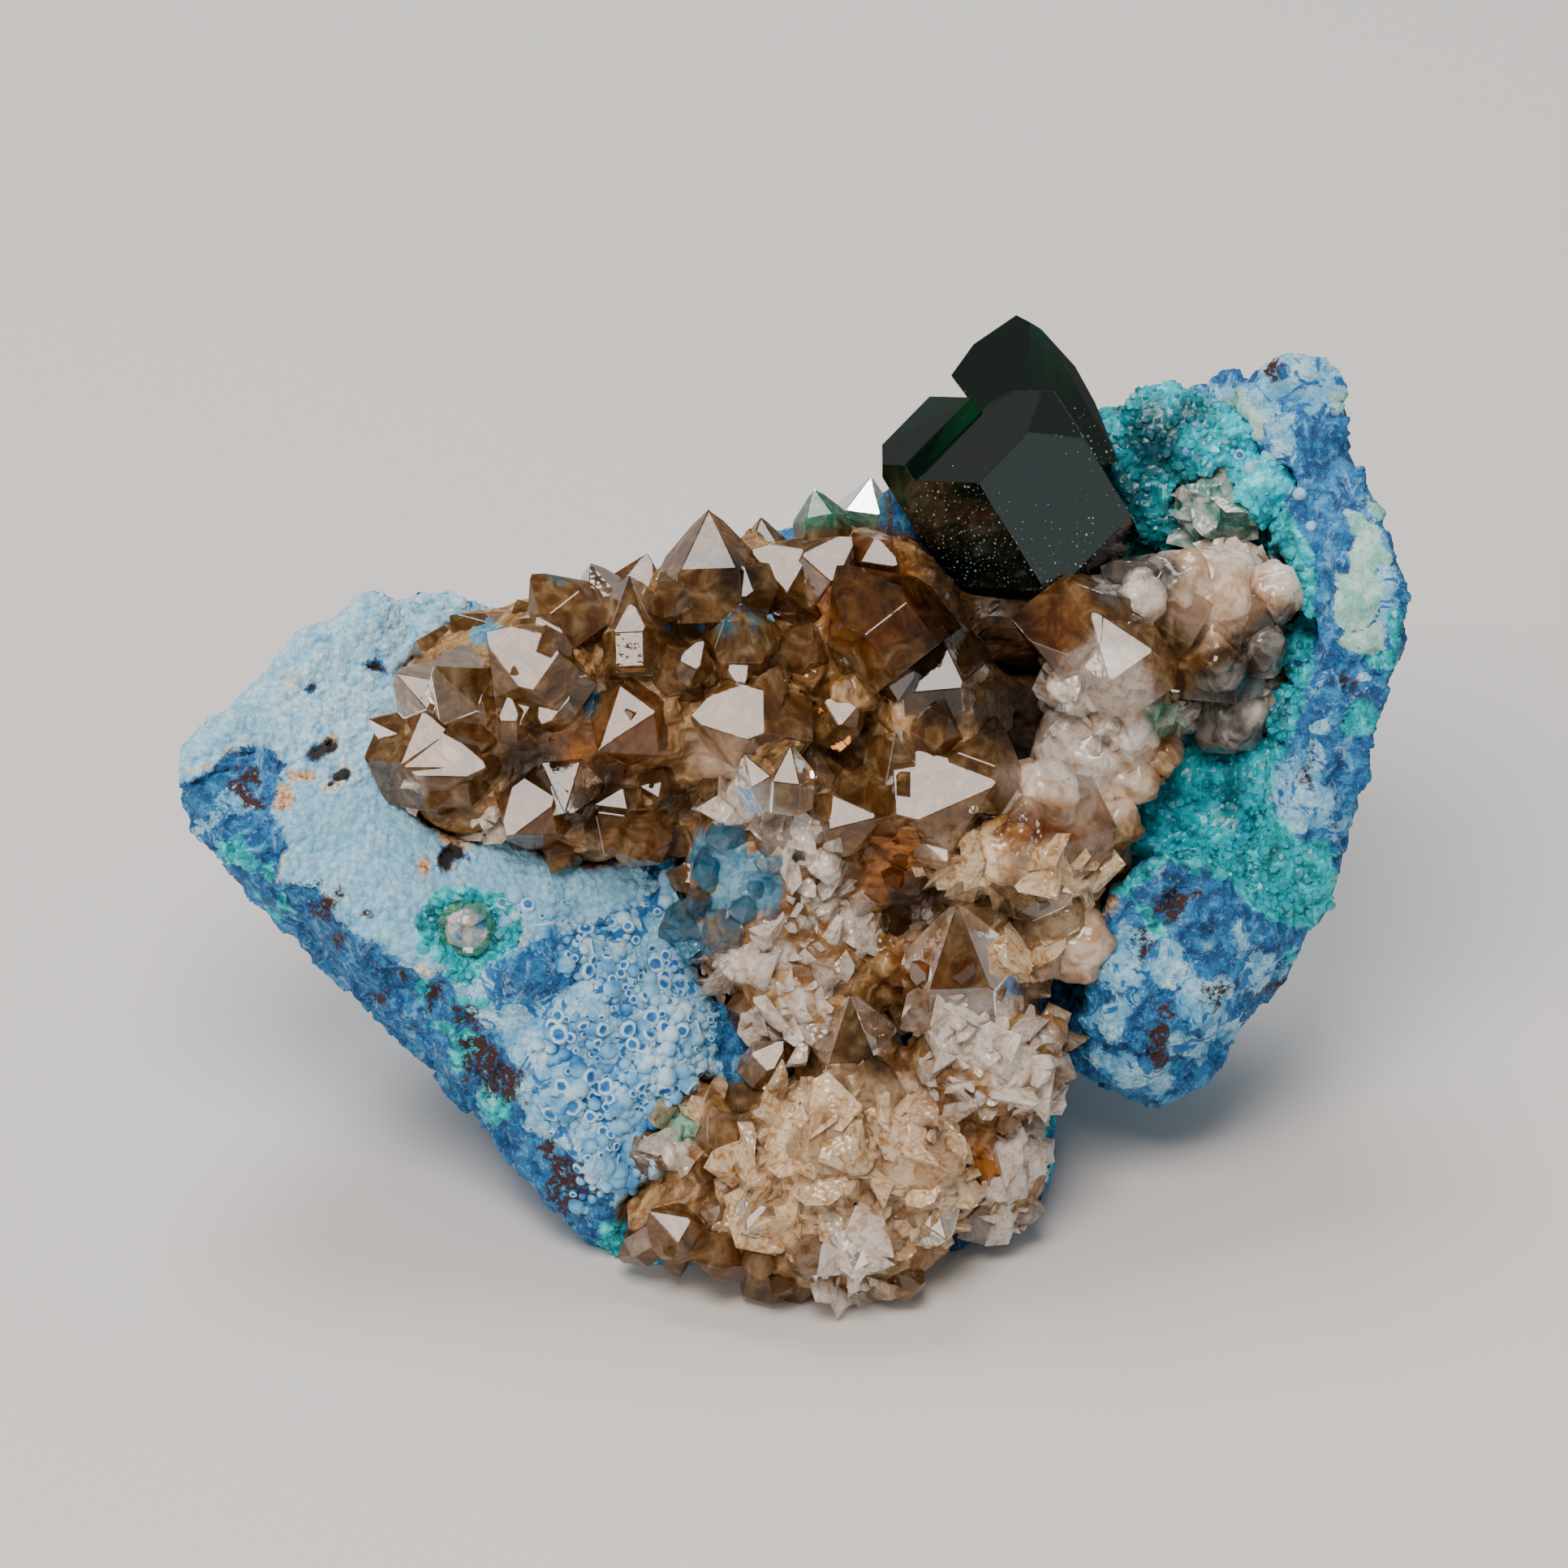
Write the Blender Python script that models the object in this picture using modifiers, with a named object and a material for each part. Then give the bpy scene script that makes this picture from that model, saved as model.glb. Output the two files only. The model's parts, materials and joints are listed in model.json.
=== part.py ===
"""Dioptase with shattuckite: a cabinet mineral specimen.

A broken block of blue shattuckite rock holds a cluster of smoky quartz points in
its hollow, and dark green dioptase crystals stand at the top of the quartz.

The good face of the rock leans back, so most sizes here are given as seen square
onto that face, in millimetres: right along it, up along it, and out of it towards
the viewer. The underside and the back are given as the rock stands: right, back
and height.
"""
import math
import random

import bmesh
import bpy
from mathutils import Euler, Matrix, Vector, noise

MM = 0.001

# Driving dimensions, in millimetres and degrees
FACE_LEAN = math.radians(35.0)   # how far the good face leans back from upright
FRONT_TO_MIDDLE = 21.0           # from the front tip of the foot to the origin
CLEARANCE = 0.32                 # gap left between two pieces that touch
QUARTZ_SLOPE = math.radians(51.8)    # pyramid face of quartz, from across the axis
DIOPTASE_SLOPE = math.radians(51.0)  # rhomb face of dioptase, from across the axis

# Quartz points, as shares of a point's own width
POINT_LENGTH = 1.05              # from tip to root
POINT_ROOT = 0.75                # how far behind the tip the point leaves the mound
PRISM_SPREAD = (0.92, 1.06)      # how unevenly the six prism faces grew
SMALL_FACE_SETBACK = 0.05        # most that a small pyramid face lies behind the tip
TIP_CLIMB = 0.5                  # share of a point's height that shows above the mound
ROUGH_BLOCK = 80.0               # edge of the block that a crystal is cleaved from
QUARTZ_SEED = 7

# Mounds and lumps
MOUND_ROOT = 0.25                # cut off this share of a radius behind the middle
MOUND_FLOOR = -7.0               # how far out the rock under the mounds lies
SWELL_SIZE = 2.1                 # swells across a lump's radius
SWELL_HEIGHT = 1.6               # of a swell, as a share of the lump's roughness
CHIP_SIZE = 5.3                  # the same two for the chips on it
CHIP_HEIGHT = 1.4

# The rock's surface: size and height of its patterns
BROKEN_HOLLOWS = (7.0, 1.6)
SMALL_LUMPS = (2.2, 0.9)
ROCK_VOXEL = 0.9                 # size of the lumps that survive on the rock

# Share of the faces that is kept where a surface is thinned out
ROCK_KEEP = 0.075
SOCKET_KEEP = 0.78               # the rock again, once its sockets are cut
CLUSTER_KEEP = 0.68
CRUST_KEEP = 0.6

# The direction in which the bright pyramid faces of the quartz look (right, up, out)
BRIGHT_SIDE = Vector((-0.05, 0.24, 0.97)).normalized()


def clear_scene():
    for old in list(bpy.data.objects):
        bpy.data.objects.remove(old, do_unlink=True)


def stood(right, back, height):
    """A point given as the rock stands, turned into right, up and out of the face."""
    up = back * math.sin(FACE_LEAN) + height * math.cos(FACE_LEAN)
    out = height * math.sin(FACE_LEAN) - back * math.cos(FACE_LEAN)
    return (right, up, out)


# The rock, as overlapping blocks. Each is the hull of its broken corners.
ROCK_BLOCKS = {
    "left wing": [
        (-37.9, 32.4, 2.6), (-37.3, 34.1, 1.8), (-34.2, 36.3, 0.6), (-32.1, 38.3, -0.5),
        (-30.4, 40.6, -1.8), (-28.2, 42.0, -2.6), (-24.0, 43.3, -3.9), (-17.0, 43.0, -5.2),
        (-36.6, 29.6, 1.2), (-33.8, 26.4, -5.0), (-33.4, 25.4, -7.3), (-29.8, 22.2, -7.5),
        (-31.2, 28.2, 3.2), (-31.0, 26.2, 3.3), (-26.4, 22.6, 3.8), (-20.5, 20.6, 3.0),
        (-25.4, 18.4, -8.0), (-20.4, 13.0, -9.5), (-14.0, 24.0, 1.6), (-12.0, 40.0, -6.5),
        stood(-28.0, 33.0, 27.0), stood(-17.0, 37.0, 24.5), stood(-33.0, 25.5, 22.0),
        stood(-26.0, 31.0, 19.0), stood(-17.0, 35.0, 9.0), stood(-30.5, 29.0, 25.5),
    ],
    "lower left flank": [
        (-20.8, 20.8, 3.0), (-16.2, 22.2, 3.6), (-10.5, 22.4, 2.4), (-6.0, 18.0, 1.0),
        (-5.5, 9.0, 0.6), (-10.6, 5.4, -0.6), (-13.4, 7.4, -1.6), (-16.4, 11.0, -2.6),
        (-20.6, 14.6, -1.8), (-24.6, 19.2, -0.6), (-25.4, 18.4, -8.0), (-20.4, 13.0, -9.5),
        stood(-17.4, 18.0, -1.5), stood(-15.0, 30.0, -1.0), stood(-12.0, 4.6, 2.0),
    ],
    "body": [
        stood(-11.0, 5.0, -1.5), stood(-6.0, 3.4, -1.5), stood(4.0, 2.8, -1.5),
        stood(10.5, 4.2, -1.5), stood(15.6, 10.0, -1.5), stood(-17.4, 18.0, -1.5),
        stood(-13.0, 31.0, -1.5), stood(10.0, 33.0, -1.5), stood(16.0, 24.0, -1.0),
        (-12.0, 8.0, -2.0), (0.0, 6.0, -2.5), (13.0, 5.4, -4.0), (16.4, 11.5, -7.0),
        (-16.0, 22.0, 0.0), (-16.0, 41.4, -4.6), (-11.0, 43.6, -4.4), (-5.0, 45.6, -4.2),
        (4.0, 47.4, -4.6), (10.0, 51.6, -5.6), (19.5, 54.0, -8.0), (17.0, 40.0, -5.0),
        (15.5, 24.0, -5.0), stood(-16.0, 40.0, 12.0), stood(14.0, 41.0, 8.0),
        stood(-14.0, 39.0, 25.0), stood(-4.0, 40.0, 28.0), stood(13.0, 43.0, 33.0),
        stood(20.0, 41.0, 37.0),
    ],
    "right block": [
        (20.8, 26.8, 0.4), (23.5, 27.6, 1.0), (27.0, 26.8, 0.8), (18.6, 22.4, -0.4),
        (18.2, 18.0, -1.4), (17.6, 13.8, -6.0), (20.0, 13.6, -4.0), (23.2, 12.2, -7.8),
        (26.1, 13.5, -7.0), (26.5, 18.5, -0.8), (29.6, 18.6, -5.5), (31.6, 20.6, -7.0),
        (30.6, 23.4, -1.6), (28.4, 24.6, 0.4), (20.4, 17.0, -0.8),
        stood(17.0, 24.0, 3.0), stood(22.0, 31.0, 8.0), stood(29.0, 30.0, 14.0),
        stood(32.0, 26.0, 18.0),
    ],
    "right wall foot": [
        (31.4, 20.6, -7.2), (33.4, 24.2, -4.6), (34.6, 28.6, -1.8), (35.4, 31.4, -0.4),
        (30.4, 30.0, -0.8), (29.4, 26.0, -1.4), (28.0, 22.0, -8.0),
        stood(33.0, 27.0, 20.0), stood(28.0, 36.0, 20.0), stood(34.0, 32.0, 26.0),
        stood(20.0, 38.0, 16.0), (37.3, 37.2, 1.4), (31.6, 35.4, 0.8),
    ],
    "right wall": [
        (35.2, 31.2, -0.6), (37.4, 37.0, 1.6), (37.8, 42.0, 1.8), (38.0, 45.0, 0.8),
        (36.0, 49.4, -0.6), (34.6, 53.0, -2.4), (30.6, 31.6, -0.8), (31.6, 36.0, 0.9),
        (32.0, 41.0, 1.2), (31.4, 46.0, 0.2), (30.2, 51.0, -1.8), (30.0, 54.5, -3.0),
        stood(35.5, 32.0, 27.0), stood(37.0, 33.0, 34.0), stood(33.0, 38.0, 32.0),
        stood(33.5, 38.5, 42.0),
    ],
    "right wall top": [
        (31.6, 58.4, -4.2), (34.0, 58.0, -3.8), (34.9, 56.2, -3.2), (34.7, 52.6, -2.2),
        (28.4, 57.2, -5.0), (25.8, 56.6, -6.2), (29.6, 53.0, -2.8), (31.2, 49.0, -0.8),
        stood(33.0, 39.5, 42.5), stood(26.0, 42.0, 38.0), stood(30.0, 41.0, 34.0),
    ],
    "upper shelf": [
        (19.0, 55.0, -9.0), (22.0, 55.6, -8.4), (27.0, 57.0, -6.4), (30.4, 52.0, -4.5),
        (30.8, 46.0, -6.0), (26.0, 48.0, -8.5), (18.0, 50.0, -9.5),
        stood(18.0, 42.0, 38.0), stood(30.0, 42.0, 38.0),
    ],
    "hollow floor": [
        (14.0, 24.0, -8.0), (16.0, 54.0, -9.5), (31.5, 50.0, -9.0), (32.5, 32.0, -9.5),
        (29.0, 23.0, -9.5), stood(14.0, 40.0, 14.0), stood(30.0, 38.0, 24.0),
        stood(31.0, 41.0, 38.0), stood(15.0, 42.0, 36.0),
    ],
}

# Round lumps on the rock: right, up, out, radius
ROCK_LUMPS = [
    (37.0, 49.0, -0.6, 0.9), (36.4, 46.6, 0.2, 1.3), (37.2, 43.6, 1.4, 1.2),
    (33.0, 57.8, -3.8, 1.1), (31.0, 57.6, -4.2, 1.3), (27.6, 56.4, -5.0, 1.5),
    (29.2, 55.2, -3.8, 1.2), (26.0, 55.0, -6.0, 1.3), (34.4, 54.6, -2.8, 1.0),
    (-36.6, 33.0, 2.6, 1.2), (-29.4, 40.8, -1.8, 1.2), (-26.0, 42.2, -2.8, 1.3),
    (-21.6, 42.8, -4.2, 1.2), (-34.0, 35.6, 1.2, 1.3), (-22.0, 21.4, 3.4, 1.2),
    (-14.2, 22.0, 3.4, 1.6), (-17.0, 19.6, 3.0, 1.6), (-12.0, 18.4, 2.4, 1.5),
    (-14.0, 14.0, 1.4, 1.5), (-10.0, 13.6, 1.4, 1.5), (-11.6, 9.4, 0.6, 1.4),
    (-8.0, 9.0, 0.8, 1.3), (22.0, 25.6, 0.8, 1.5), (26.0, 24.6, 0.8, 1.4),
    (21.0, 20.4, 0.0, 1.4), (24.4, 17.6, -1.0, 1.5), (14.0, 6.4, -4.2, 1.4),
]

# The mounds of quartz that the points stand on: centre (right, up, out), radii, roughness
QUARTZ_MOUNDS = [
    ((-14.5, 37.5, -1.5), (10.0, 6.6, 7.2), 0.02),
    ((-19.5, 32.6, -0.6), (4.6, 4.2, 4.4), 0.02),
    ((-12.0, 31.0, -1.0), (7.0, 3.8, 4.6), 0.03),
    ((-3.5, 38.0, -2.0), (9.0, 7.6, 7.4), 0.02),
    ((4.8, 40.5, -3.0), (8.0, 8.0, 7.0), 0.02),
    ((6.5, 30.0, -3.2), (9.0, 7.4, 6.4), 0.03),
    ((-1.4, 26.4, -2.0), (5.6, 8.4, 5.6), 0.07),
    ((1.4, 20.0, -1.6), (5.0, 5.6, 4.6), 0.06),
    ((20.6, 38.4, -3.0), (4.6, 7.6, 6.6), 0.08),
    ((16.6, 29.0, -2.6), (5.2, 5.6, 5.4), 0.05),
    ((15.0, 44.0, -5.0), (6.5, 5.0, 5.0), 0.04),
    ((26.4, 43.8, -3.6), (5.2, 3.6, 5.0), 0.07),
    ((28.0, 38.6, -5.2), (3.6, 4.2, 4.4), 0.08),
    ((10.6, 21.6, -3.0), (6.4, 5.4, 5.2), 0.05),
    ((12.2, 15.0, -2.0), (5.4, 4.8, 5.4), 0.10),
    ((3.4, 9.4, -1.4), (8.2, 5.6, 6.4), 0.08),
    ((2.6, 4.2, 0.2), (8.0, 3.8, 4.2), 0.05),
    ((-5.4, 9.6, -1.4), (3.8, 4.6, 3.4), 0.04),
    ((-6.4, 5.4, -1.2), (4.0, 3.0, 3.0), 0.04),
    ((13.2, 8.6, -3.6), (3.2, 4.0, 3.8), 0.08),
]

# The larger quartz points. Tip (right, up), width, the way the point heads across
# the face in degrees (0 is right, 90 is up), how far its axis leans off the bright
# side, and how far the tip stands out of the mound
QUARTZ_POINTS = [
    (-18.4, 41.6, 6.6, 145, 52, 1.5), (-24.0, 39.0, 3.8, 150, 45, 0.4),
    (-25.7, 36.2, 4.4, 170, 62, 0.6), (-21.6, 39.4, 5.0, 160, 30, 0.6),
    (-11.5, 34.2, 6.6, 234, 52, 1.6), (-5.9, 36.4, 6.4, 180, 52, 1.6),
    (-16.3, 35.8, 3.0, 262, 52, 1.4), (-14.9, 35.7, 3.8, 250, 52, 1.8),
    (-13.6, 41.2, 3.4, 350, 52, 1.2), (-19.2, 32.2, 7.0, 300, 52, 1.0),
    (-23.6, 33.2, 5.2, 200, 48, 0.4), (-22.2, 30.6, 3.6, 235, 60, 0.4),
    (-17.2, 29.2, 5.0, 240, 52, 0.9), (-13.6, 30.4, 4.4, 275, 46, 1.0),
    (-10.4, 30.6, 3.4, 120, 52, 0.8), (-11.2, 27.8, 3.0, 262, 66, 0.6),
    (-9.7, 45.0, 4.8, 94, 74, 1.8), (-12.1, 45.7, 3.2, 108, 72, 0.4),
    (-15.7, 45.2, 4.4, 128, 78, 0.8), (-8.4, 46.4, 3.8, 74, 60, 0.4),
    (-4.9, 49.0, 6.6, 92, 80, 1.0), (-2.4, 48.6, 5.4, 100, 84, 0.0),
    (-2.8, 46.6, 4.8, 150, 52, 0.8), (-2.8, 43.4, 4.8, 90, 34, 1.2),
    (-7.2, 40.6, 4.0, 110, 20, 0.9), (-5.2, 41.0, 2.6, 70, 52, 0.9),
    (1.4, 42.0, 3.6, 60, 30, 0.8), (3.6, 39.4, 3.8, 250, 34, 0.8),
    (3.8, 47.4, 4.4, 62, 62, 0.6), (7.1, 45.2, 3.6, 330, 52, 1.0),
    (8.4, 43.4, 8.8, 95, 52, 2.0), (3.0, 44.4, 7.0, 120, 36, 0.9),
    (12.9, 32.3, 7.6, 4, 52, 2.0), (5.8, 30.2, 5.8, 354, 52, 1.6),
    (9.8, 27.4, 4.6, 282, 52, 1.2), (0.2, 34.6, 3.2, 84, 52, 1.0),
    (-2.6, 34.0, 2.8, 120, 46, 0.8), (-1.0, 31.6, 3.0, 100, 40, 0.6),
    (6.6, 35.4, 4.0, 100, 24, 0.6), (9.6, 37.2, 3.8, 60, 30, 0.5),
    (12.8, 35.4, 4.8, 300, 76, 0.4), (13.8, 42.2, 7.4, 176, 62, 1.6),
    (20.6, 41.2, 5.0, 20, 52, 1.6), (19.2, 45.6, 5.2, 150, 70, 0.8),
    (20.8, 43.2, 3.6, 95, 30, 1.2), (26.8, 45.6, 6.0, 85, 60, 0.2),
    (30.0, 44.2, 4.0, 40, 60, 0.3), (27.6, 41.4, 4.2, 300, 40, 0.6),
    (10.9, 27.2, 7.2, 206, 62, 1.6), (15.2, 19.9, 5.8, 266, 76, 1.0),
    (17.6, 25.4, 4.6, 330, 56, 0.4), (10.4, 24.8, 7.0, 92, 40, 0.4),
    (3.8, 19.2, 5.2, 92, 36, 0.5), (-0.2, 16.4, 3.0, 44, 52, 0.9),
    (5.4, 15.6, 4.0, 80, 40, 0.4), (11.0, 9.1, 4.4, 8, 62, 0.6),
    (8.0, 13.2, 3.0, 84, 70, 0.5), (-8.5, 6.0, 3.2, 150, 50, 0.2),
    (-2.5, 4.6, 3.0, 255, 46, 0.2), (4.0, 2.2, 3.4, 268, 56, 0.1),
    (9.8, 4.2, 3.8, 305, 56, 0.1), (1.7, 50.4, 3.4, 100, 80, 0.2),
    (5.2, 51.5, 4.0, 82, 82, 0.4), (2.0, 12.6, 5.0, 100, 34, 0.3),
    (-4.6, 12.4, 3.2, 110, 40, 0.3),
]

# The dioptase. The crystals that stand parallel share the front crystal's axes.
FRONT_AXIS = Vector((-0.337, 0.059, 0.940)).normalized()
FRONT_TURN = math.radians(-6.0)
# For each crystal: tip (right, up, out), how far off the tip the three rhomb faces
# lie, the distance of the six prism faces in turn, and the length
DIOPTASE_CRYSTALS = {
    "front": ((11.7, 50.6, 7.0), (0.0, 0.0, 0.0), (5.7, 3.5, 4.7, 6.5, 5.9, 6.5), 12.5),
    "front ridge": ((11.7, 50.6, 7.0), (-0.5, 0.0, -0.4), (3.7, 6.3, 4.7, 5.5, 5.0, 4.0), 12.0),
    "left": ((7.2, 51.8, 1.4), (0.0, 0.0, 0.0), (6.0, 4.7, 3.0, 2.2, 7.6, 6.0), 7.5),
}
# The top crystal stands across the others, so it is the hull of its own corners
TOP_CLEARANCE_SHARE = 1.6        # slanted faces need more than the plain clearance
TOP_CRYSTAL = [
    (14.2, 61.3, -1.6), (11.3, 59.6, -0.8), (9.9, 57.5, 0.2), (10.8, 56.3, 0.8),
    (16.0, 60.2, -1.0), (17.9, 58.1, -0.2), (19.0, 56.0, 0.6), (20.0, 53.2, 1.0),
    (17.2, 57.6, 2.0), (12.6, 57.4, 3.0), (12.2, 53.4, 3.4), (17.0, 52.8, 3.4),
    (13.8, 60.0, -6.0), (10.6, 57.4, -6.4), (18.4, 56.4, -6.4), (19.6, 52.0, -7.0),
    (12.0, 52.0, -7.0),
]

# The two teal crusts, in the right-hand hollow and on the slope above it, as low
# patches: right, up, out, radius along the face, radius out of it
DRUSE_PATCHES = {
    "dioptase_druse": [
        (32.0, 41.4, -1.6, 1.8, 2.0), (31.6, 36.6, -3.0, 2.3, 2.4), (30.2, 32.6, -5.0, 3.0, 2.8),
        (26.2, 31.6, -7.4, 4.0, 3.0), (27.4, 28.2, -6.4, 3.2, 2.8), (22.2, 29.4, -7.4, 3.2, 2.6),
    ],
    "dioptase_druse_upper": [
        (20.4, 52.4, -6.6, 3.0, 2.2), (23.4, 54.0, -6.0, 3.2, 2.2), (26.6, 52.8, -4.6, 3.0, 2.2),
        (23.6, 50.0, -6.4, 3.2, 2.4), (29.4, 50.4, -2.9, 2.2, 2.0),
    ],
}
DRUSE_POINT_WIDTH = (0.8, 1.4)
DRUSE_POINT_COUNT = 14           # on each crust
DRUSE_POINT_LEAN = (5, 50)       # degrees off the way out of the face
DRUSE_POINT_STAND = 0.55         # of a point's width stands out of its patch
DRUSE_ROUGHNESS = 0.08
DRUSE_SEED = 21
PATCH_SEED = 40                  # the first patch's pattern

# The two lone pieces of quartz: middle, radii, roughness, pattern
WALL_LUMP = ((26.8, 49.6, -4.4), (2.9, 2.4, 2.4), 0.10, 61)
RIMMED_BEAD = ((-19.7, 23.3, 2.6), (1.7, 1.7, 1.5), 0.04, 62)

# The flat facet that the rock stands on is cut at height zero
CUTTER_DEPTH = 10.0
CUTTER_WIDTH = 120.0


def new_material(name, colour, roughness, alpha=1.0):
    material = bpy.data.materials.new(name)
    material.use_nodes = True
    shader = material.node_tree.nodes["Principled BSDF"]
    shader.inputs["Base Color"].default_value = (*colour, 1.0)
    shader.inputs["Roughness"].default_value = roughness
    shader.inputs["Alpha"].default_value = alpha
    shader.inputs["Metallic"].default_value = 0.0
    return material


def object_from(name, bm, collection, material=None):
    """Make an object, in metres, from a shape that was modelled in millimetres."""
    bmesh.ops.transform(bm, matrix=Matrix.Scale(MM, 4), verts=bm.verts)
    bmesh.ops.recalc_face_normals(bm, faces=bm.faces)
    mesh = bpy.data.meshes.new(name)
    bm.to_mesh(mesh)
    bm.free()
    made = bpy.data.objects.new(name, mesh)
    collection.objects.link(made)
    if material:
        mesh.materials.append(material)
    return made


def add_hull(bm, corners):
    """One convex block through the given corners."""
    verts = [bm.verts.new(corner) for corner in corners]
    hull = bmesh.ops.convex_hull(bm, input=verts)
    inside = [part for part in hull["geom_interior"] if isinstance(part, bmesh.types.BMVert)]
    bmesh.ops.delete(bm, geom=inside, context="VERTS")


def merge_into(bm, shape):
    """Add one finished shape to a growing group of shapes."""
    mesh = bpy.data.meshes.new("shape")
    shape.to_mesh(mesh)
    shape.free()
    bm.from_mesh(mesh)
    bpy.data.meshes.remove(mesh)


def add_lump(bm, middle, radii, roughness, seed, grow=0.0, root=1.0):
    """A broken lump: a ball whose points are pushed in and out, with a flat root.

    The root says how far behind the middle it is cut off, as a share of the radius.
    """
    ball = bmesh.new()
    bmesh.ops.create_icosphere(ball, subdivisions=2, radius=1.0)
    for vert in ball.verts:
        way = vert.co.copy()
        swell = noise.noise(way * SWELL_SIZE + Vector((seed * 3.7, seed, 0.0)))
        chip = noise.noise(way * CHIP_SIZE + Vector((0.0, seed * 2.3, seed)))
        reach = 1.0 + roughness * (SWELL_HEIGHT * swell + CHIP_HEIGHT * chip)
        for axis in range(3):
            vert.co[axis] = way[axis] * (radii[axis] * reach + grow)
    if root < 1.0:
        cleave(ball, Vector((0.0, 0.0, -1.0)), radii[2] * root + grow)
    bmesh.ops.translate(ball, vec=middle, verts=ball.verts)
    merge_into(bm, ball)


def cleave(bm, normal, distance):
    """Cut a crystal by one face and close it, keeping what lies behind the face."""
    parts = bm.verts[:] + bm.edges[:] + bm.faces[:]
    cut = bmesh.ops.bisect_plane(
        bm, geom=parts, plane_co=normal * distance, plane_no=normal, clear_outer=True)
    rim = [part for part in cut["geom_cut"] if isinstance(part, bmesh.types.BMEdge)]
    if len(rim) > 2:
        bmesh.ops.edgeloop_fill(bm, edges=rim)


def add_crystal(bm, faces, tip, turn):
    """A crystal with its tip at the given place, cleaved from a block by its faces."""
    block = bmesh.new()
    bmesh.ops.create_cube(block, size=ROUGH_BLOCK)
    for normal, distance in faces:
        cleave(block, normal, distance)
    place = Matrix.Translation(tip) @ turn.to_4x4()
    bmesh.ops.transform(block, matrix=place, verts=block.verts)
    merge_into(bm, block)


def axis_turn(axis, towards):
    """A turn that lays Z along the axis and X to the side that looks towards a way."""
    side = (towards - axis * towards.dot(axis)).normalized()
    across = axis.cross(side)
    return Matrix((side, across, axis)).transposed()


def mound_height(right, up):
    """How far out the quartz mounds reach at a place on the face."""
    highest = MOUND_FLOOR
    for (x, y, z), (rx, ry, rz), _ in QUARTZ_MOUNDS:
        inside = 1.0 - ((right - x) / rx) ** 2 - ((up - y) / ry) ** 2
        if inside > 0.0:
            highest = max(highest, z + rz * math.sqrt(inside))
    return highest


def quartz_faces(width, length, dice, grow):
    """Six prism faces, three large and three small pyramid faces, and a flat root."""
    faces = []
    for turn in range(6):
        angle = math.radians(60 * turn)
        sides = Vector((math.cos(angle), math.sin(angle), 0.0))
        faces.append((sides, width / 2 * dice.uniform(*PRISM_SPREAD) + grow))
        slope = sides * math.sin(QUARTZ_SLOPE) + Vector((0.0, 0.0, math.cos(QUARTZ_SLOPE)))
        smaller = 0.0 if turn % 2 == 0 else dice.uniform(0.0, SMALL_FACE_SETBACK) * width
        faces.append((slope, smaller + grow))
    faces.append((Vector((0.0, 0.0, -1.0)), length + grow))
    return faces


def quartz_shape(grow=0.0):
    """The whole quartz cluster, points and mounds, still as overlapping shapes."""
    bm = bmesh.new()
    dice = random.Random(QUARTZ_SEED)
    for right, up, width, heading, lean, stand in QUARTZ_POINTS:
        way = math.radians(heading)
        across = Vector((math.cos(way), math.sin(way), 0.0))
        across = (across - BRIGHT_SIDE * across.dot(BRIGHT_SIDE)).normalized()
        lean = math.radians(lean)
        axis = BRIGHT_SIDE * math.cos(lean) + across * math.sin(lean)
        root = width * POINT_ROOT
        out = mound_height(right - axis.x * root, up - axis.y * root)
        tip = Vector((right, up, out + (axis.z * root + stand) * TIP_CLIMB))
        faces = quartz_faces(width, width * POINT_LENGTH, dice, grow)
        add_crystal(bm, faces, tip, axis_turn(axis, BRIGHT_SIDE))
    for seed, (middle, radii, roughness) in enumerate(QUARTZ_MOUNDS):
        add_lump(bm, middle, radii, roughness, seed + 1, grow, MOUND_ROOT)
    return bm


def dioptase_shape(grow=0.0):
    """The dioptase crystals, still as overlapping shapes."""
    bm = bmesh.new()
    turn = axis_turn(FRONT_AXIS, Vector((1.0, 0.0, 0.0))) @ Matrix.Rotation(FRONT_TURN, 3, "Z")
    for tip, rhombs, prisms, length in DIOPTASE_CRYSTALS.values():
        faces = []
        for step in range(3):
            angle = math.radians(120 * step)
            lift = math.cos(DIOPTASE_SLOPE)
            flat = math.sin(DIOPTASE_SLOPE)
            normal = Vector((flat * math.cos(angle), flat * math.sin(angle), lift))
            faces.append((normal, rhombs[step] + grow))
        for step in range(6):
            angle = math.radians(30 + 60 * step)
            normal = Vector((math.cos(angle), math.sin(angle), 0.0))
            faces.append((normal, prisms[step] + grow))
        faces.append((Vector((0.0, 0.0, -1.0)), length + grow))
        add_crystal(bm, faces, Vector(tip), turn)
    middle = sum((Vector(corner) for corner in TOP_CRYSTAL), Vector()) / len(TOP_CRYSTAL)
    corners = []
    for corner in TOP_CRYSTAL:
        arm = Vector(corner) - middle
        corners.append(middle + arm * (1.0 + grow * TOP_CLEARANCE_SHARE / arm.length))
    add_hull(bm, corners)
    return bm


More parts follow.
